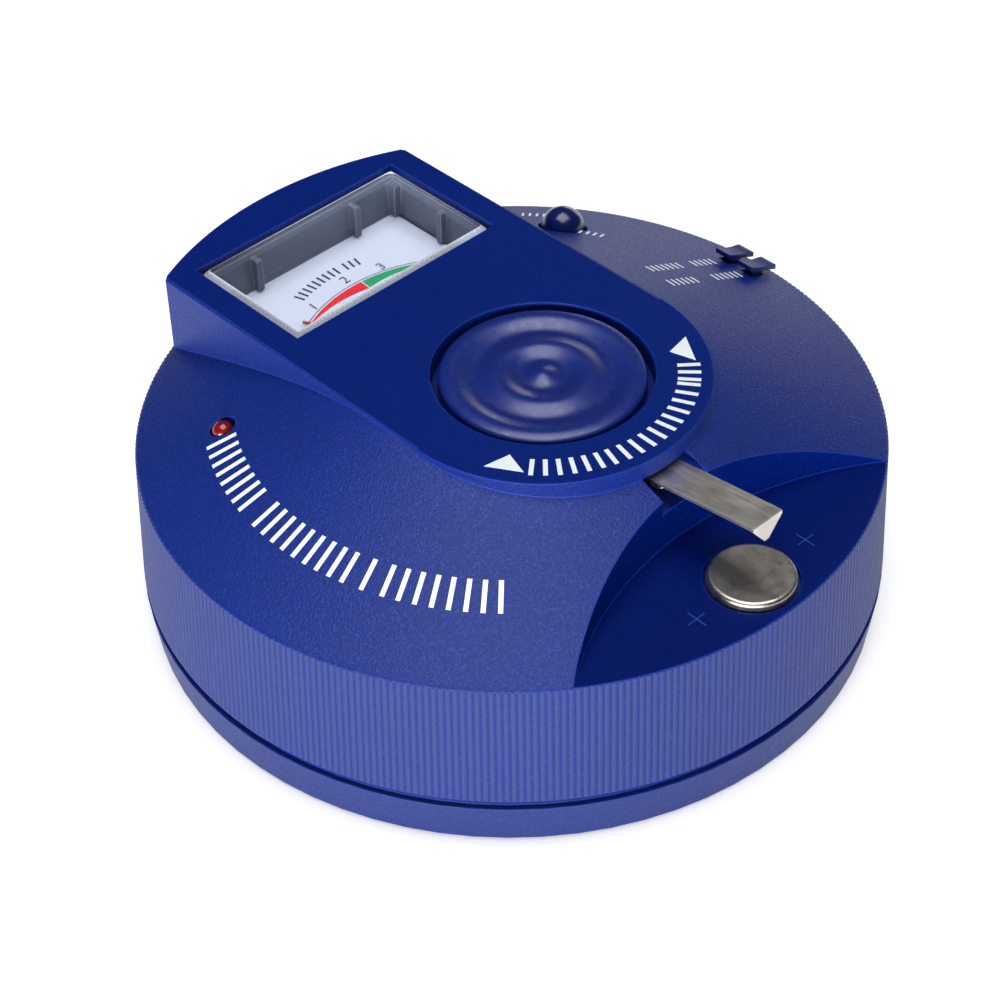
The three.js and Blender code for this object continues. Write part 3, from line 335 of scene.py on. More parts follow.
worked(housing, "DIFFERENCE",
       slab("slot", -SLOT_HALF, SLOT_HALF, -45, SLOT_BACK, SLOT_FLOOR, SLOT_ROOF),
       drill(PAD_HOLE_R, PAD_SEAT_Z, ABOVE, 0, PAD_Y, 180),
       drill(PAD_SEAT_HOLE_R, 20, ABOVE, 0, PAD_Y),
       slab("window_opening", *WINDOW, 20, ABOVE),
       drill(LAMP_HOLE_R, 10, ABOVE, -SIDE_X, SIDE_Y, 48),
       turned("knob_hole", [(0, -8), (KNOB_HOLE_R, -8), (KNOB_HOLE_R, 8), (0, 8)], 72, knob_place),
       slab("stem_a", *STEM_X, STEM_Y[0], STEM_Y[1], 10, ABOVE),
       slab("stem_b", *STEM_X, -STEM_Y[1], -STEM_Y[0], 10, ABOVE),
       drill(POCKET_R, POCKET_Z, ABOVE, 0, DISC_Y, 120),
       drill(STUD_HOLE_R, 10, ABOVE, 0, DISC_Y, 32))
done(housing, blue_shell, "housing", "blue_shell", "upper_housing", even=True)
housing.data.materials.append(platform_shade_blue)
housing.data.materials.append(recess_shade_blue)
# Flat platform-top faces take the darker copy painted as shade; the recess floor and wall take the
# darkest copy, painted as the recess's shade.
for face in housing.data.polygons:
    x, y, z = (c * 1000 for c in face.center)
    flat_up = face.normal.z > 0.99
    if flat_up and z > PLATFORM_Z - 0.1:
        face.material_index = 1
    elif y < -30 and z > RIM_Z - 0.05 and (
            (flat_up and z < RIM_Z + 0.1)
            or abs(math.hypot(x, y - RECESS_Y) - RECESS_R) < 0.2 and abs(face.normal.z) < 0.1):
        face.material_index = 2

# ---- recess marks ----------------------------------------------------------------------------
# Two fine crosses on the recess floor, one on each side of the disc. They are moulded with the
# shell and stand a hair proud of it; their blue is painted lighter than the floor as a painted
# highlight.
MARK_L, MARK_W, MARK_H, MARK_X = 3.0, 0.16, 0.06, 10.1
crosses = None
for x in (-MARK_X, MARK_X):
    bars = [slab("bar", x - half_x, x + half_x, DISC_Y - half_y, DISC_Y + half_y,
                 RIM_Z - 0.1, RIM_Z + MARK_H)
            for half_x, half_y in ((MARK_L / 2, MARK_W / 2), (MARK_W / 2, MARK_L / 2))]
    cross = worked(bars[0], "UNION", bars[1])
    crosses = worked(crosses, "UNION", cross) if crosses else cross
crosses.name = "recess_marks"
# Lighter blue: painted highlight on the raised crosses.
mark_sheen_blue = moulded("mark_sheen_blue", (0.006, 0.03, 0.26), (0.01, 0.04, 0.3), (0.02, 0.06, 0.4),
                    0.45, 0.1)
done(crosses, mark_sheen_blue, "housing", "blue_shell")

# ---- skirt ribs ------------------------------------------------------------------------------
# The grip round the skirt: 360 shallow soft ridges moulded with the shell, from the parting
# groove up to the rim. One ridge is swept and set round the axis.
RIB_COUNT = 360
RIB_R = 0.55  # radius of a ridge's back, sunk so that RIB_PROUD of it stands out


def row_tree(name, sizes, shape):
    """A fan of like pieces round the axis: point i is turned by Start + i * Step."""
    tree = bpy.data.node_groups.new(name, "GeometryNodeTree")
    tree.interface.new_socket("Geometry", in_out="OUTPUT", socket_type="NodeSocketGeometry")
    sockets = {}
    for label, kind in [("Count", "Int"), ("Start", "Float"), ("Step", "Float")] + [
            (s, "Float") for s in sizes] + [("Finish", "Material")]:
        sockets[label] = tree.interface.new_socket(
            label, in_out="INPUT", socket_type="NodeSocket" + kind).identifier
    given = tree.nodes.new("NodeGroupInput")
    points = tree.nodes.new("GeometryNodePoints")
    place = tree.nodes.new("GeometryNodeInstanceOnPoints")
    index = tree.nodes.new("GeometryNodeInputIndex")
    angle = node(tree, "ShaderNodeMath", operation="MULTIPLY_ADD")
    turn_by = tree.nodes.new("ShaderNodeCombineXYZ")
    tree.links.new(given.outputs["Count"], points.inputs["Count"])
    tree.links.new(index.outputs[0], angle.inputs[0])
    tree.links.new(given.outputs["Step"], angle.inputs[1])
    tree.links.new(given.outputs["Start"], angle.inputs[2])
    tree.links.new(angle.outputs[0], turn_by.inputs["Z"])
    tree.links.new(points.outputs[0], place.inputs["Points"])
    tree.links.new(shape(tree, given), place.inputs["Instance"])
    tree.links.new(turn_by.outputs[0], place.inputs["Rotation"])
    real = tree.nodes.new("GeometryNodeRealizeInstances")
    paint = tree.nodes.new("GeometryNodeSetMaterial")
    out = tree.nodes.new("NodeGroupOutput")
    tree.links.new(place.outputs[0], real.inputs[0])
    tree.links.new(real.outputs[0], paint.inputs["Geometry"])
    tree.links.new(given.outputs["Finish"], paint.inputs["Material"])
    tree.links.new(paint.outputs[0], out.inputs[0])
    return tree, sockets


def row(name, tree_and_sockets, **values):
    tree, sockets = tree_and_sockets
    part = bpy.data.objects.new(name, bpy.data.meshes.new(name))
    bpy.context.scene.collection.objects.link(part)
    maker = part.modifiers.new("maker", "NODES")
    maker.node_group = tree
    for label, value in values.items():
        maker[sockets[label]] = value
    settle(part)
    return part


def ridge(tree, given):
    low, high = tree.nodes.new("ShaderNodeCombineXYZ"), tree.nodes.new("ShaderNodeCombineXYZ")
    line = tree.nodes.new("GeometryNodeCurvePrimitiveLine")
    section = node(tree, "GeometryNodeCurvePrimitiveCircle", Resolution=10)
    sweep = node(tree, "GeometryNodeCurveToMesh", **{"Fill Caps": True})
    for end, r, z in ((low, "Low Radius", "Low"), (high, "High Radius", "High")):
        tree.links.new(given.outputs[r], end.inputs["X"])
        tree.links.new(given.outputs[z], end.inputs["Z"])
    tree.links.new(low.outputs[0], line.inputs["Start"])
    tree.links.new(high.outputs[0], line.inputs["End"])
    tree.links.new(given.outputs["Back"], section.inputs["Radius"])
    tree.links.new(line.outputs[0], sweep.inputs["Curve"])
    tree.links.new(section.outputs[0], sweep.inputs["Profile Curve"])
    return sweep.outputs[0]


rib_blue = moulded("rib_blue", (0.002, 0.016, 0.14), (0.006, 0.026, 0.18), (0.01, 0.05, 0.36),
                   0.5, 0.2, radius=0.0001, shine=0.62)
rib_row = row_tree("skirt_rib_row", ("Low Radius", "Low", "High Radius", "High", "Back"), ridge)
ribs = row("skirt_ribs", rib_row,
           Count=RIB_COUNT, Start=0.0, Step=math.tau / RIB_COUNT,
           **{"Low Radius": SKIRT_R - RIB_R - 0.02, "Low": SKIRT_LOW_Z + 0.3,
              "High Radius": RIM_R - RIB_R, "High": RIM_Z - 0.15, "Back": RIB_R,
              "Finish": rib_blue})
done(ribs, rib_blue, "housing", "blue_shell", sharp=50)

# ---- base cover, screws, feet and battery door -----------------------------------------------
# The underside moulding with its parting lip, four rubber feet in shallow seats, four zinc
# plated screws from below, and a ribbed door that slides off the two cells.
def refined(name, cad_node, finish, body, slot, soft=0.0, steps=2, sharp=30):
    """The piece's own solid, made whole again from its facets and with its edges broken."""
    bm = bmesh.new()
    bm.from_mesh(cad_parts[cad_node].data)
    bmesh.ops.remove_doubles(bm, verts=bm.verts, dist=2e-7)
    bmesh.ops.dissolve_limit(bm, angle_limit=math.radians(1), verts=bm.verts, edges=bm.edges)
    mesh = bpy.data.meshes.new(name)
    bm.to_mesh(mesh)
    bm.free()
    part = bpy.data.objects.new(name, mesh)
    bpy.context.scene.collection.objects.link(part)
    if soft:
        broken = part.modifiers.new("broken_edges", "BEVEL")
        broken.width, broken.segments = soft * 0.001, steps
        broken.limit_method, broken.angle_limit = "ANGLE", math.radians(sharp)
        settle(part)
    return done(part, finish, body, slot, cad_node, sharp=sharp, even=True, scale=1.0)


base_blue = moulded("base_blue", (0.001, 0.013, 0.125), (0.005, 0.022, 0.18), EDGE_HIGHLIGHT_BLUE,
                    0.46, 0.5, scale=3000.0, shine=0.4)
refined("base_shell", "base_cover", base_blue, "housing", "blue_shell")
refined("cell_door", "battery_door", base_blue, "door", "blue_shell", soft=0.15)

rubber = moulded("foot_rubber", (0.018, 0.018, 0.019), (0.035, 0.035, 0.036), (0.04, 0.04, 0.04),
                 0.75, 0.5)
for i in range(1, 5):
    refined(f"rubber_foot_{i}", f"foot_{i}", rubber, "housing", "rubber", soft=0.25)

brushed, brushed_in, brushed_out = effect(
    "brushed_grain",
    [("Vector", "Vector", None), ("Along", "Vector", (1.0, 1.0, 1.0)), ("Scale", "Float", 900.0)],
    [("Streak", "Float"), ("Stain", "Float")])
stretch = node(brushed, "ShaderNodeVectorMath", operation="MULTIPLY")
brushed.links.new(brushed_in.outputs["Vector"], stretch.inputs[0])
brushed.links.new(brushed_in.outputs["Along"], stretch.inputs[1])
streaks = node(brushed, "ShaderNodeTexNoise", Detail=3.0, Roughness=0.65)
stain = node(brushed, "ShaderNodeTexNoise", Scale=300.0, Detail=3.0, Roughness=0.6)
brushed.links.new(stretch.outputs[0], streaks.inputs["Vector"])
brushed.links.new(brushed_in.outputs["Scale"], streaks.inputs["Scale"])
brushed.links.new(brushed_in.outputs["Vector"], stain.inputs["Vector"])
brushed.links.new(streaks.outputs[0], brushed_out.inputs["Streak"])
brushed.links.new(stain.outputs[0], brushed_out.inputs["Stain"])


def plated(name, bright, dull, low_rough, high_rough, along=(1, 1, 1), scale=900.0, depth=0.15,
           radius=0.0001):
    """A plated metal: streaks from rolling or brushing, a mottled, slightly stained skin, and a
    near-white painted highlight along rounded edges.
    """
    finish = bpy.data.materials.new(name)
    finish.use_nodes = True
    tree = finish.node_tree
    shader = tree.nodes["Principled BSDF"]
    shader.inputs["Metallic"].default_value = 1.0
    place = node(tree, "ShaderNodeTexCoord")
    skin = node(tree, "ShaderNodeGroup", node_tree=brushed)
    skin.inputs["Along"].default_value = along
    skin.inputs["Scale"].default_value = scale
    edges = node(tree, "ShaderNodeGroup", node_tree=rounded)
    edges.inputs["Radius"].default_value = radius
    tree.links.new(place.outputs["Object"], skin.inputs["Vector"])
    patch = node(tree, "ShaderNodeMapRange", **{"From Min": 0.35, "From Max": 0.65})
    tree.links.new(skin.outputs["Stain"], patch.inputs["Value"])
    colour = node(tree, "ShaderNodeMix", data_type="RGBA")
    colour.inputs[6].default_value = (*bright, 1)
    colour.inputs[7].default_value = (*dull, 1)
    tree.links.new(patch.outputs[0], colour.inputs[0])
    # Painted highlight: a near-white colour laid on rounded edges by the edge mask.
    edge_highlight = node(tree, "ShaderNodeMix", data_type="RGBA")
    edge_highlight.inputs[7].default_value = (0.85, 0.83, 0.78, 1)
    tree.links.new(edges.outputs["Edge"], edge_highlight.inputs[0])
    tree.links.new(colour.outputs[2], edge_highlight.inputs[6])
    tree.links.new(edge_highlight.outputs[2], shader.inputs["Base Color"])
    rough = node(tree, "ShaderNodeMapRange", **{
        "From Min": 0.3, "From Max": 0.7, "To Min": low_rough, "To Max": high_rough})
    tree.links.new(skin.outputs["Streak"], rough.inputs["Value"])
    tree.links.new(rough.outputs[0], shader.inputs["Roughness"])
    bump = node(tree, "ShaderNodeBump", Strength=depth, Distance=0.00005)
    tree.links.new(skin.outputs["Streak"], bump.inputs["Height"])
    tree.links.new(edges.outputs["Normal"], bump.inputs["Normal"])
    tree.links.new(bump.outputs[0], shader.inputs["Normal"])
    return finish


zinc = plated("zinc_plate", (0.62, 0.63, 0.64), (0.45, 0.46, 0.47), 0.28, 0.45)
for i in range(1, 5):
    refined(f"shell_screw_{i}", f"case_screw_{i}", zinc, "housing", "steel", soft=0.08)

# ---- sensor pad and pickup -------------------------------------------------------------------
# A round pad with three concentric ripples where the watch is laid, moulded and polished, set
# in a groove. The pickup coil and its core are glued to the underside.
PAD_R, PAD_LOW, RIPPLE, PITCH = 13.6, 35.25, 0.35, 6.0
polished_blue = moulded("polished_blue", (0.002, 0.015, 0.17), (0.003, 0.02, 0.2),
                        (0.01, 0.04, 0.4), 0.3, 0.04, scale=900.0, radius=0.0002, coat=0.2,
                        shine=0.6)
PAD_ROUND, PAD_ROUND_Z = 0.4, 37.75
edge_turn = [(PAD_R - PAD_ROUND + PAD_ROUND * math.cos(math.radians(a)),
              PAD_ROUND_Z + PAD_ROUND * math.sin(math.radians(a)))
             for a in (0, 22, 45, 68)]
ripple = [(r, PLATFORM_Z - RIPPLE + RIPPLE * math.cos(math.tau * r / PITCH))
          for r in [(PAD_R - PAD_ROUND) * (1 - i / 72) for i in range(72)]]
pad = turned("ripple_pad", [(0, PAD_LOW), (PAD_R, PAD_LOW)] + edge_turn + ripple
             + [(0, PLATFORM_Z)], 180, Matrix.Translation((0, PAD_Y, 0)))
done(pad, polished_blue, "housing", "gloss_pad", "sensor_pad", sharp=60)

# Wound wire: fine turns round the axis, as a band pattern across the height.
enamel = plated("enamelled_copper", (0.75, 0.33, 0.14), (0.5, 0.2, 0.08), 0.25, 0.4,
                (1, 1, 9), 500.0, 0.6)
sinter = moulded("sintered_core", (0.03, 0.03, 0.032), (0.06, 0.06, 0.06), (0.08, 0.08, 0.08),
                 0.6, 0.6)
refined("pickup_winding", "pickup_coil", enamel, "housing", "copper", soft=0.3)
refined("pickup_core", "coil_core", sinter, "housing", "ferrite", soft=0.3)

# ---- contact disc and nut --------------------------------------------------------------------
# A nickel-plated button turned from brass, with a full rounded rim. Its stud goes through the
# recess floor to a hexagon nut.
DISC_R, DISC_TOP, DISC_LOW, DISC_EDGE = 5.75, 27.4, 25.45, 0.6
STUD_R, STUD_Z = 1.4, 19.95
nickel = plated("nickel_plate", (0.62, 0.58, 0.52), (0.48, 0.45, 0.4), 0.26, 0.4,
                (1, 1, 1), 600.0, 0.06)
disc_edge = [(DISC_R - DISC_EDGE + DISC_EDGE * math.cos(math.radians(a)),
              DISC_TOP - DISC_EDGE + DISC_EDGE * math.sin(math.radians(a)))
             for a in range(0, 91, 9)]
disc_under = [(0, STUD_Z), (STUD_R, STUD_Z), (STUD_R, DISC_LOW), (DISC_R, DISC_LOW)]
disc = turned("contact_button", disc_under + disc_edge + [(0, DISC_TOP)], 128,
              Matrix.Translation((0, DISC_Y, 0)))
done(disc, nickel, "housing", "nickel", "contact_disc", sharp=40, even=True)
refined("stud_nut", "disc_nut", zinc, "housing", "nickel", soft=0.15)

# ---- contact arm, pin and spring -------------------------------------------------------------
# A strip of rolled nickel-plated spring steel whose end is turned down to a blunt point. It
# turns on a pin under the platform and is held up by a small coil spring.
rolled = plated("rolled_nickel", (0.8, 0.76, 0.7), (0.66, 0.62, 0.56), 0.34, 0.46,
                (1, 0.06, 1), 1400.0, 0.25)
refined("probe_arm", "contact_arm", rolled, "arm", "nickel", soft=0.07)
refined("probe_pin", "arm_pin", zinc, "housing", "steel", soft=0.08)
spring = refined("probe_spring", "arm_spring", zinc, "housing", "steel", sharp=60)
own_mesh(spring)

# ---- meter -----------------------------------------------------------------------------------
# A moving-coil meter: a grey moulded case with drafted, ribbed walls, a printed card face, a
# red needle on its spindle, and a clear lens dropped into the platform's opening.
CASE_HALF, CASE_FRONT, CASE_BACK, TURRET_Y = 18.4, 5.84, 43.24, 21.04
CASE_LOW, CASE_TOP, CASE_ROOF = 21.6, 36.25, 33.2
MOVEMENT_ROOM = (-16.9, 16.9, 7.34, 41.3, 23.1, 31.7)
VIEW_LOW, VIEW_HIGH = (-16.8, 16.8, 22.54, 41.0), (-17.2, 17.2, 22.34, 41.9)
WALL_RIB_LOW, WALL_RIB_TOP = 30.6, 35.6
grey = moulded("meter_grey", (0.085, 0.1, 0.15), (0.1, 0.12, 0.17), (0.3, 0.33, 0.42), 0.4, 0.1,
               radius=0.0002)
case = worked(slab("meter_box", -CASE_HALF, CASE_HALF, CASE_FRONT, CASE_BACK, CASE_LOW, CASE_ROOF),
              "UNION",
              slab("turret", -CASE_HALF, CASE_HALF, TURRET_Y, CASE_BACK, CASE_LOW + 1, CASE_TOP))


def drafted(name, low, low_z, high, high_z):
    """A box whose walls lean, from its lower and its upper rectangle."""
    bm = bmesh.new()
    rows = [[bm.verts.new((x, y, z)) for x, y in ((x0, y0), (x1, y0), (x1, y1), (x0, y1))]
            for (x0, x1, y0, y1), z in ((low, low_z), (high, high_z))]
    bm.faces.new(rows[0])
    bm.faces.new(rows[1])
    for i in range(4):
        j = (i + 1) % 4
        bm.faces.new((rows[0][i], rows[0][j], rows[1][j], rows[1][i]))
    return part_from(name, bm)


worked(case, "DIFFERENCE",
       slab("movement_room", *MOVEMENT_ROOM), drafted("view_room", VIEW_LOW, 29.5, VIEW_HIGH, 37))
ribs_at = [(-9.5, -8.5, 40.2, 42.4), (8.5, 9.5, 40.2, 42.4), (16.0, 17.6, 30.5, 31.5),
           (-17.6, -16.0, 30.5, 31.5), (-17.6, -15.8, 40.0, 42.4), (15.8, 17.6, 40.0, 42.4)]
for x0, x1, y0, y1 in ribs_at:
    worked(case, "UNION", slab("wall_rib", x0, x1, y0, y1, WALL_RIB_LOW, WALL_RIB_TOP,
                                soft=0.25))
done(case, grey, "housing", "grey_case", "meter_case", even=True)

clear = bpy.data.materials.new("clear_lens")
clear.use_nodes = True
tree = clear.node_tree
lens_shader = tree.nodes["Principled BSDF"]
lens_shader.inputs["Base Color"].default_value = (0.97, 0.985, 1.0, 1)
lens_shader.inputs["Transmission Weight"].default_value = 1.0
lens_shader.inputs["IOR"].default_value = 1.49
scuffs = node(tree, "ShaderNodeTexNoise", Scale=220.0, Detail=4.0)
scuff_place = node(tree, "ShaderNodeTexCoord")
scuff_rough = node(tree, "ShaderNodeMapRange", **{
    "From Min": 0.4, "From Max": 0.75, "To Min": 0.01, "To Max": 0.07})
tree.links.new(scuff_place.outputs["Object"], scuffs.inputs["Vector"])
tree.links.new(scuffs.outputs[0], scuff_rough.inputs["Value"])
tree.links.new(scuff_rough.outputs[0], lens_shader.inputs["Roughness"])
open_air = node(tree, "ShaderNodeBsdfTransparent")
rays = node(tree, "ShaderNodeLightPath")
either = node(tree, "ShaderNodeMixShader")
tree.links.new(rays.outputs["Is Shadow Ray"], either.inputs[0])
tree.links.new(lens_shader.outputs[0], either.inputs[1])
tree.links.new(open_air.outputs[0], either.inputs[2])
tree.links.new(either.outputs[0], tree.nodes["Material Output"].inputs["Surface"])

# Pale colour on the lens's bevels and sides: painted reflection standing in for light caught by the
# clear edges.
lens_bevel_glint = moulded("lens_bevel_glint", (0.72, 0.78, 0.9), (0.8, 0.85, 0.94), (0.9, 0.94, 1.0), 0.25, 0.1,
                    radius=0.0002, spread=0.06, shine=0.5)
lens_bevel_glint.node_tree.nodes["Principled BSDF"].inputs["Transmission Weight"].default_value = 0.35

LENS_X, LENS_Y0, LENS_Y1, LENS_LOW = 17.6, 21.94, 42.54, 36.35
LENS_CORNER, LENS_BEVEL = 1.4, 0.9


def rounded_rectangle(half, y0, y1, corner, steps=8):
    return (arc(half - corner, y1 - corner, corner, 0, 90, steps)
            + arc(-half + corner, y1 - corner, corner, 90, 180, steps)
            + arc(-half + corner, y0 + corner, corner, 180, 270, steps)
            + arc(half - corner, y0 + corner, corner, 270, 360, steps))


bm = bmesh.new()
lens_rows = []
for inset, z in ((0, LENS_LOW), (0, PLATFORM_Z - LENS_BEVEL), (LENS_BEVEL, PLATFORM_Z)):
    outline = rounded_rectangle(LENS_X - inset, LENS_Y0 + inset, LENS_Y1 - inset,
                                LENS_CORNER - inset)
    lens_rows.append([bm.verts.new((x, y, z)) for x, y in outline])
bm.faces.new(lens_rows[0])
bm.faces.new(lens_rows[2])
for below, above in zip(lens_rows, lens_rows[1:]):
    for i in range(len(below)):
        j = (i + 1) % len(below)
        bm.faces.new((below[i], below[j], above[j], above[i]))
lens = part_from("meter_lens", bm)
done(lens, clear, "housing", "clear_window", "meter_window", sharp=25)
lens.data.materials.append(lens_bevel_glint)
# Bevels and sides take the pale painted-reflection finish; flat faces stay clear.
for face in lens.data.polygons:
    face.material_index = 0 if abs(face.normal.z) > 0.99 else 1

card = moulded("dial_card", (0.47, 0.51, 0.62), (0.5, 0.54, 0.64), (0.54, 0.58, 0.68), 0.6, 0.05,
               radius=0.00005, spread=0.03)
refined("dial_face", "meter_dial", card, "housing", "dial_card", soft=0.05)


def ink(name, colour):
    return moulded(name, colour, tuple(min(1, c * 1.15 + 0.01) for c in colour), colour, 0.5, 0.05,
                   radius=0.00003, spread=0.05)


red_ink, green_ink = ink("red_ink", (0.58, 0.0, 0.008)), ink("green_ink", (0.0, 0.24, 0.085))
black_ink = ink("black_ink", (0.02, 0.022, 0.04))
DIAL_Z, INK, INK_SUNK = 30.3, 0.03, 0.05
STROKE_T, NUMERAL_T = 0.1, 0.02
BAND_X, BAND_Y, BAND_R = 0.7, 10.7, 21.6
TICK_X, TICK_Y, TICK_R = 0.7, 14.0, 22.6


def band(name, start, end, start_w, end_w, finish, radius=BAND_R):
    """A printed band along the scale that widens or narrows as it goes."""
    steps = 40
    outer = arc(BAND_X, BAND_Y, radius, start, end, steps)
    inner = []
    for i, a in enumerate(start + (end - start) * k / steps for k in range(steps + 1)):
        w = max(start_w + (end_w - start_w) * i / steps, 0.04)
        inner += arc(BAND_X, BAND_Y, radius - w, a, a, 1)[:1]
    return done(prism(name, outer + inner[::-1], DIAL_Z - INK_SUNK, DIAL_Z + INK), finish,
                "housing", "dial_card")


band("scale_red", 117.5, 86.0, 0.1, 1.9, red_ink)
band("scale_green", 85.4, 62.5, 1.8, 0.5, green_ink)
band("scale_red_low", 121.0, 97.0, 0.1, 0.5, red_ink, radius=19.4)
band("scale_line", 121.0, 62.0, 0.12, 0.12, black_ink, radius=22.0)
for i, (x, y) in enumerate(((-6.2, 32.6), (0.9, 34.1), (6.6, 32.9))):
    words = bpy.data.curves.new("numeral", "FONT")
    words.body, words.size = str(i + 1), 2.3
    words.align_x, words.align_y, words.extrude = "CENTER", "CENTER", NUMERAL_T
    shape = bpy.data.objects.new("numeral", words)
    bpy.context.scene.collection.objects.link(shape)
    graph = bpy.context.evaluated_depsgraph_get()
    mesh = bpy.data.meshes.new_from_object(shape.evaluated_get(graph))
    bpy.data.objects.remove(shape)
    numeral = bpy.data.objects.new(f"numeral_{i + 1}", mesh)
    bpy.context.scene.collection.objects.link(numeral)
    mesh.transform(Matrix.Translation((x, y, DIAL_Z + NUMERAL_T)))
    done(numeral, black_ink, "housing", "dial_card")


def stroke(tree, given):
    box = tree.nodes.new("GeometryNodeMeshCube")
    size, at = tree.nodes.new("ShaderNodeCombineXYZ"), tree.nodes.new("ShaderNodeCombineXYZ")
    shift = tree.nodes.new("GeometryNodeTransform")
    for label, axis in (("Length", "X"), ("Width", "Y"), ("Thickness", "Z")):
        tree.links.new(given.outputs[label], size.inputs[axis])
    tree.links.new(given.outputs["Radius"], at.inputs["X"])
    tree.links.new(size.outputs[0], box.inputs["Size"])
    tree.links.new(box.outputs["Mesh"], shift.inputs["Geometry"])
    tree.links.new(at.outputs[0], shift.inputs["Translation"])
    return shift.outputs[0]


stroke_row = row_tree("printed_stroke_row", ("Radius", "Length", "Width", "Thickness"), stroke)


def strokes(name, finish, cx, cy, radius, start, end, pitch, length, width, height):
    """Printed strokes across an arc, from start to end degrees, as high above as height says."""
    count = max(1, round(math.radians(abs(end - start)) * radius / pitch) + 1)
    step = math.radians(end - start) / max(1, count - 1)
    part = row(name, stroke_row, Count=count, Start=math.radians(start), Step=step, Radius=radius,
               Length=length, Width=width, Thickness=STROKE_T, Finish=finish)
    for v in part.data.vertices:
        v.co.x += cx
        v.co.y += cy
        v.co.z += height(v.co) - STROKE_T / 2 + INK
    return done(part, finish, "housing", "dial_card")


for letter, start, end in (("a", 108, 88), ("b", 84, 79)):
    strokes(f"dial_strokes_{letter}", black_ink, TICK_X, TICK_Y, TICK_R, start, end, 0.95, 1.7,
            0.34, lambda co: DIAL_Z)
strokes("dial_strokes_c", black_ink, BAND_X, BAND_Y, 18.4, 116, 66, 1.6, 0.9, 0.22,
        lambda co: DIAL_Z)

red_paint = moulded("needle_red", (0.5, 0.01, 0.015), (0.6, 0.02, 0.03), (0.7, 0.1, 0.1),
                    0.35, 0.05)
refined("needle", "meter_needle", red_paint, "movement", "needle_red", soft=0.05)
refined("needle_coil", "meter_coil", enamel, "movement", "copper", soft=0.2)
refined("magnet_block", "meter_magnet", sinter, "housing", "ferrite", soft=0.3)
for i in (1, 2):
    refined(f"dial_screw_{i}", f"meter_screw_{i}", zinc, "housing", "steel", soft=0.06)

# ---- lamp ------------------------------------------------------------------------------------
# A 3 mm red lamp, moulded in clear red epoxy, in a plain hole of the deck. It stands on a black
# spacer on the board.
LAMP_R = 1.5
LAMP_DECK_Z = deck_z(38.1)
LAMP_SEAT_Z = LAMP_DECK_Z - 5
dome_z = LAMP_DECK_Z - 0.9
lamp_red = moulded("lamp_red", (0.25, 0.003, 0.008), (0.3, 0.005, 0.01), (0.6, 0.05, 0.06),
                   0.1, 0.03, coat=0.8)
lamp_red.node_tree.nodes["Principled BSDF"].inputs["Transmission Weight"].default_value = 0.35
dome = [(LAMP_R * math.cos(math.radians(a)), dome_z + LAMP_R * math.sin(math.radians(a)))
        for a in range(0, 90, 9)]
lamp_body = turned("lamp_lens", [
    (0, LAMP_SEAT_Z), (LAMP_R + 0.4, LAMP_SEAT_Z), (LAMP_R + 0.4, LAMP_SEAT_Z + 1),
    (LAMP_R, LAMP_SEAT_Z + 1)] + dome + [(0, dome_z + LAMP_R)], 64,
    Matrix.Translation((-SIDE_X, SIDE_Y, 0)))
done(lamp_body, lamp_red, "housing", "lamp_red", "led_lamp", sharp=50)
black_abs = moulded("black_abs", (0.015, 0.015, 0.016), (0.03, 0.03, 0.032), (0.06, 0.06, 0.06),
                    0.5, 0.2)
refined("lamp_spacer", "led_spacer", black_abs, "housing", "black_plastic", soft=0.1)

# ---- power button ----------------------------------------------------------------------------
# A polished dark blue dome that is pressed square to the deck; a flange under the deck keeps it
# in. The switch below it stands on a wedge.
polished_navy = moulded("polished_navy", (0.001, 0.008, 0.11), (0.002, 0.01, 0.12),
                        (0.01, 0.03, 0.2), 0.2, 0.03, scale=600.0, coat=0.35, shine=0.5)
KNOB_R, KNOB_H, KNOB_STEM_R, KNOB_STEM_LOW = 3.1, 3.0, 1.5, -6.3
FLANGE_R, FLANGE_LOW, FLANGE_TOP = 4.3, -3.8, -3.0
knob_dome = [(KNOB_R * math.cos(math.radians(a)), KNOB_H * math.sin(math.radians(a)))
             for a in range(0, 90, 6)]
knob_foot = [(0, KNOB_STEM_LOW), (KNOB_STEM_R, KNOB_STEM_LOW), (KNOB_STEM_R, FLANGE_LOW),
             (FLANGE_R, FLANGE_LOW), (FLANGE_R, FLANGE_TOP), (KNOB_R, FLANGE_TOP)]
knob = turned("power_dome", knob_foot + knob_dome + [(0, KNOB_H)], 96, knob_place)
done(knob, polished_navy, "power_cap", "dark_button", "power_button", sharp=50)
refined("power_switch_body", "power_switch", black_abs, "housing", "black_plastic", soft=0.15)
refined("power_riser", "switch_riser", black_abs, "housing", "black_plastic", soft=0.1)

# ---- test buttons ----------------------------------------------------------------------------
# Two saddle-topped push buttons side by side at the rim, each on a stem through the deck with a
# foot that keeps it in, over its own switch.
navy = moulded("satin_navy", (0.001, 0.01, 0.14), (0.003, 0.014, 0.16), (0.01, 0.04, 0.3), 0.4, 0.1,
               radius=0.0002, shine=0.25)
HEAD_LIFT, HEAD_FLAT, HEAD_DOWN = 1.1, 0.62, 0.2  # gap under the head, its flattening and drop
for letter in "ab":
    cap = refined(f"press_button_{letter}", f"test_button_{letter}", navy, f"test_cap_{letter}",
                  "dark_button", soft=0.15, steps=3)
    for v in cap.data.vertices:
        under = (deck_z(v.co.x * 1000) + HEAD_LIFT) / 1000
        if v.co.z > under - 0.0003:
            v.co.z = under - HEAD_DOWN / 1000 + (v.co.z - under) * HEAD_FLAT
    refined(f"press_switch_{letter}", f"test_switch_{letter}", black_abs, "housing",
            "black_plastic", soft=0.15)

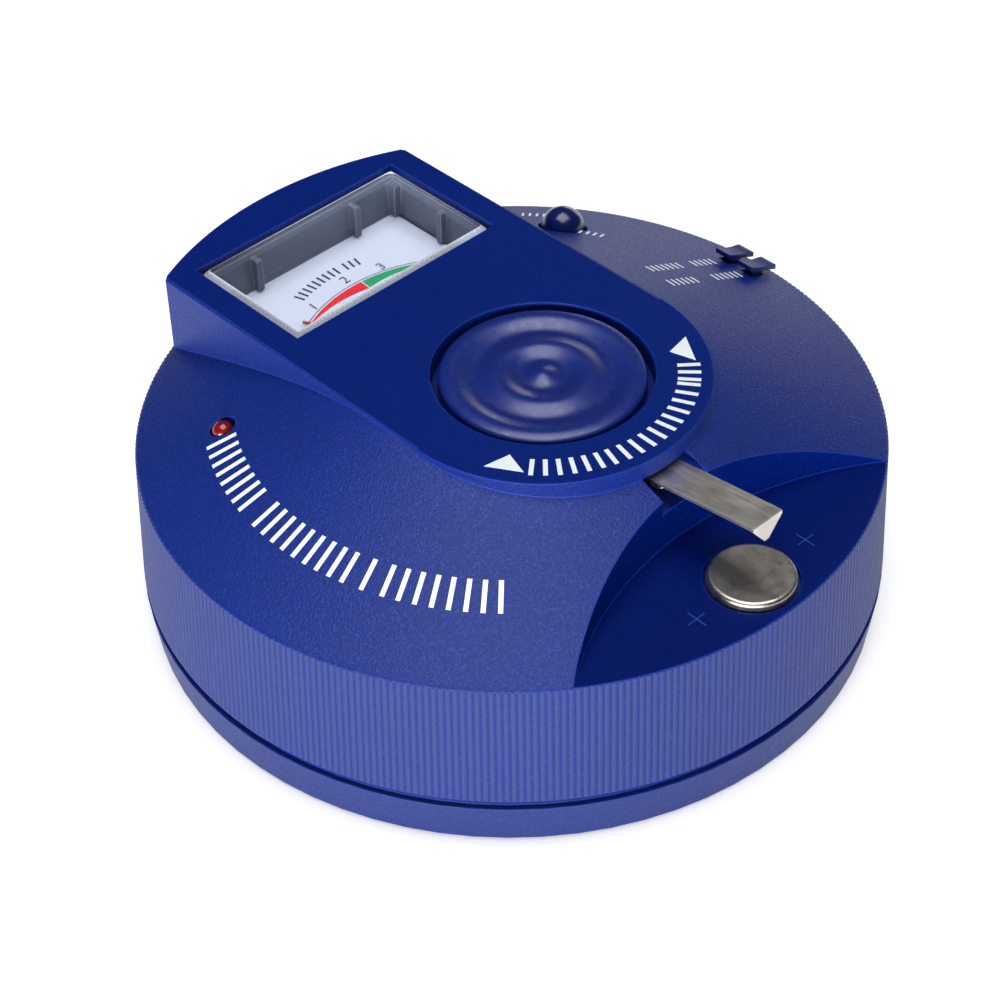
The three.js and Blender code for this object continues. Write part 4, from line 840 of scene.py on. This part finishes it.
# ---- printed marks ---------------------------------------------------------------------------
# White pad-printed marks: two triangles and a row of strokes round the platform's front, rows of
# strokes along the deck, and short rows beside the buttons.
white_ink = ink("white_ink", (0.8, 0.86, 0.93))
for side in (-1, 1):
    corners = [(side * x, y) for x, y in ((14.5, -14.8), (18.3, -14.1), (15.6, -18.4))]
    done(prism(f"triangle_{'rl'[side < 0]}", corners, PLATFORM_Z - INK_SUNK, PLATFORM_Z + INK),
         white_ink, "housing", "blue_shell")


def on_deck(co):
    return deck_z(math.hypot(co.x, co.y))


for i, (start, end) in enumerate(((-139, -113), (-108, -80), (-75, -53), (-50, -41))):
    strokes(f"platform_strokes_{i + 1}", white_ink, 0, PAD_Y, 18.9, start, end, 1.75, 3.0, 0.6,
            lambda co: PLATFORM_Z)
for i, (start, end) in enumerate(((149.5, 168), (173, 195), (199, 203), (206, 224))):
    strokes(f"deck_strokes_{i + 1}", white_ink, 0, 0, 38.6, start, end, 1.9, 4.0, 0.62, on_deck)
for i, (radius, start, end) in enumerate(((44.0, 43.5, 39.5), (36.5, 30.0, 25.0))):
    strokes(f"power_strokes_{i + 1}", white_ink, 0, 0, radius, start, end, 1.0, 1.7, 0.35, on_deck)
LABEL_W, LABEL_H = 0.34, 1.7
label_rows = ((2.3, "upper", ((29, 35.4), (38, 42.6))), (-2.1, "lower", ((28.4, 33.4), (37.6, 43))))
for row_y, name, groups in label_rows:
    for i, (x0, x1) in enumerate(groups):
        marks = [slab("mark", x0 + k - LABEL_W / 2, x0 + k + LABEL_W / 2, row_y - LABEL_H / 2,
                      row_y + LABEL_H / 2, -INK_SUNK, INK) for k in range(int(x1 - x0) + 1)]
        merged = worked(marks[0], "UNION", *marks[1:])
        merged.name = f"test_strokes_{name}_{i + 1}"
        for v in merged.data.vertices:
            v.co.z += on_deck(v.co)
        done(merged, white_ink, "housing", "blue_shell")

# ---- board, cells and their contacts ---------------------------------------------------------
# The round circuit board on its two screws, and two cells side by side in the base bay, between
# a pair of plated contacts at one end and a bridge at the other.
board = moulded("board_lacquer", (0.02, 0.13, 0.06), (0.03, 0.17, 0.08), (0.2, 0.25, 0.15),
                0.35, 0.1)
refined("round_board", "circuit_board", board, "housing", "board_green", soft=0.1)
jacket = moulded("cell_jacket", (0.05, 0.07, 0.1), (0.07, 0.09, 0.12), (0.4, 0.4, 0.4),
                 0.3, 0.05, coat=0.3)
for i in (1, 2):
    refined(f"board_fixing_{i}", f"board_screw_{i}", zinc, "housing", "steel", soft=0.08)
for letter in "ab":
    refined(f"cell_{letter}", f"battery_cell_{letter}", jacket, "housing", "cell_jacket", soft=0.3)
    refined(f"cell_plate_{letter}", f"cell_contact_{letter}", nickel, "housing", "nickel",
            soft=0.08)
refined("cell_link", "cell_bridge", nickel, "housing", "nickel", soft=0.08)

# ---- studio ----------------------------------------------------------------------------------
# A pale floor, a dim surround and three soft lamps: one overhead and one low on each side, so
# that flat tops stay deep in colour while slopes and the ribbed side catch a sheen.
sweep_floor = slab("studio_floor", -6000, 6000, -6000, 6000, -10, 0)
sweep_floor.data.transform(Matrix.Scale(0.001, 4))
paper = bpy.data.materials.new("white_paper")
paper.use_nodes = True
for label, value in (("Base Color", (0.9, 0.9, 0.9, 1)), ("Roughness", 0.8),
                     ("Emission Color", (1, 1, 1, 1)), ("Emission Strength", 0.38)):
    paper.node_tree.nodes["Principled BSDF"].inputs[label].default_value = value
sweep_floor.data.materials.append(paper)


def lamp(name, at, aim, width, height, power):
    light = bpy.data.lights.new(name, "AREA")
    light.shape, light.size, light.size_y, light.energy = "RECTANGLE", width, height, power
    holder = bpy.data.objects.new(name, light)
    bpy.context.scene.collection.objects.link(holder)
    holder.location = at
    holder.rotation_euler = (Vector(aim) - Vector(at)).to_track_quat("-Z", "Y").to_euler()


lamp("overhead", (0.0, 0.0, 1.1), (0, 0, 0), 0.9, 0.9, 10.5)
lamp("low_left", (-0.95, -0.6, 0.17), (0, 0, 0.02), 1.2, 0.28, 20)
lamp("low_right", (1.1, 0.45, 0.18), (0, 0, 0.01), 0.8, 0.25, 1.2)

scene = bpy.context.scene
scene.view_settings.view_transform = "Standard"
world = bpy.data.worlds.new("surround")
world.use_nodes = True
surround = world.node_tree.nodes["Background"]
surround.inputs["Color"].default_value = (0.95, 0.97, 1.0, 1)
surround.inputs["Strength"].default_value = 0.06
scene.world = world

eye = bpy.data.cameras.new("camera")
eye.lens, eye.sensor_width = 90.2, 36.0
camera = bpy.data.objects.new("camera", eye)
scene.collection.objects.link(camera)
camera.matrix_world = Matrix((
    (0.71856, 0.47070, -0.51198, -0.17709),
    (-0.69533, 0.47169, -0.54224, -0.18509),
    (-0.01374, 0.74563, 0.66622, 0.24132),
    (0, 0, 0, 1)))
scene.camera = camera
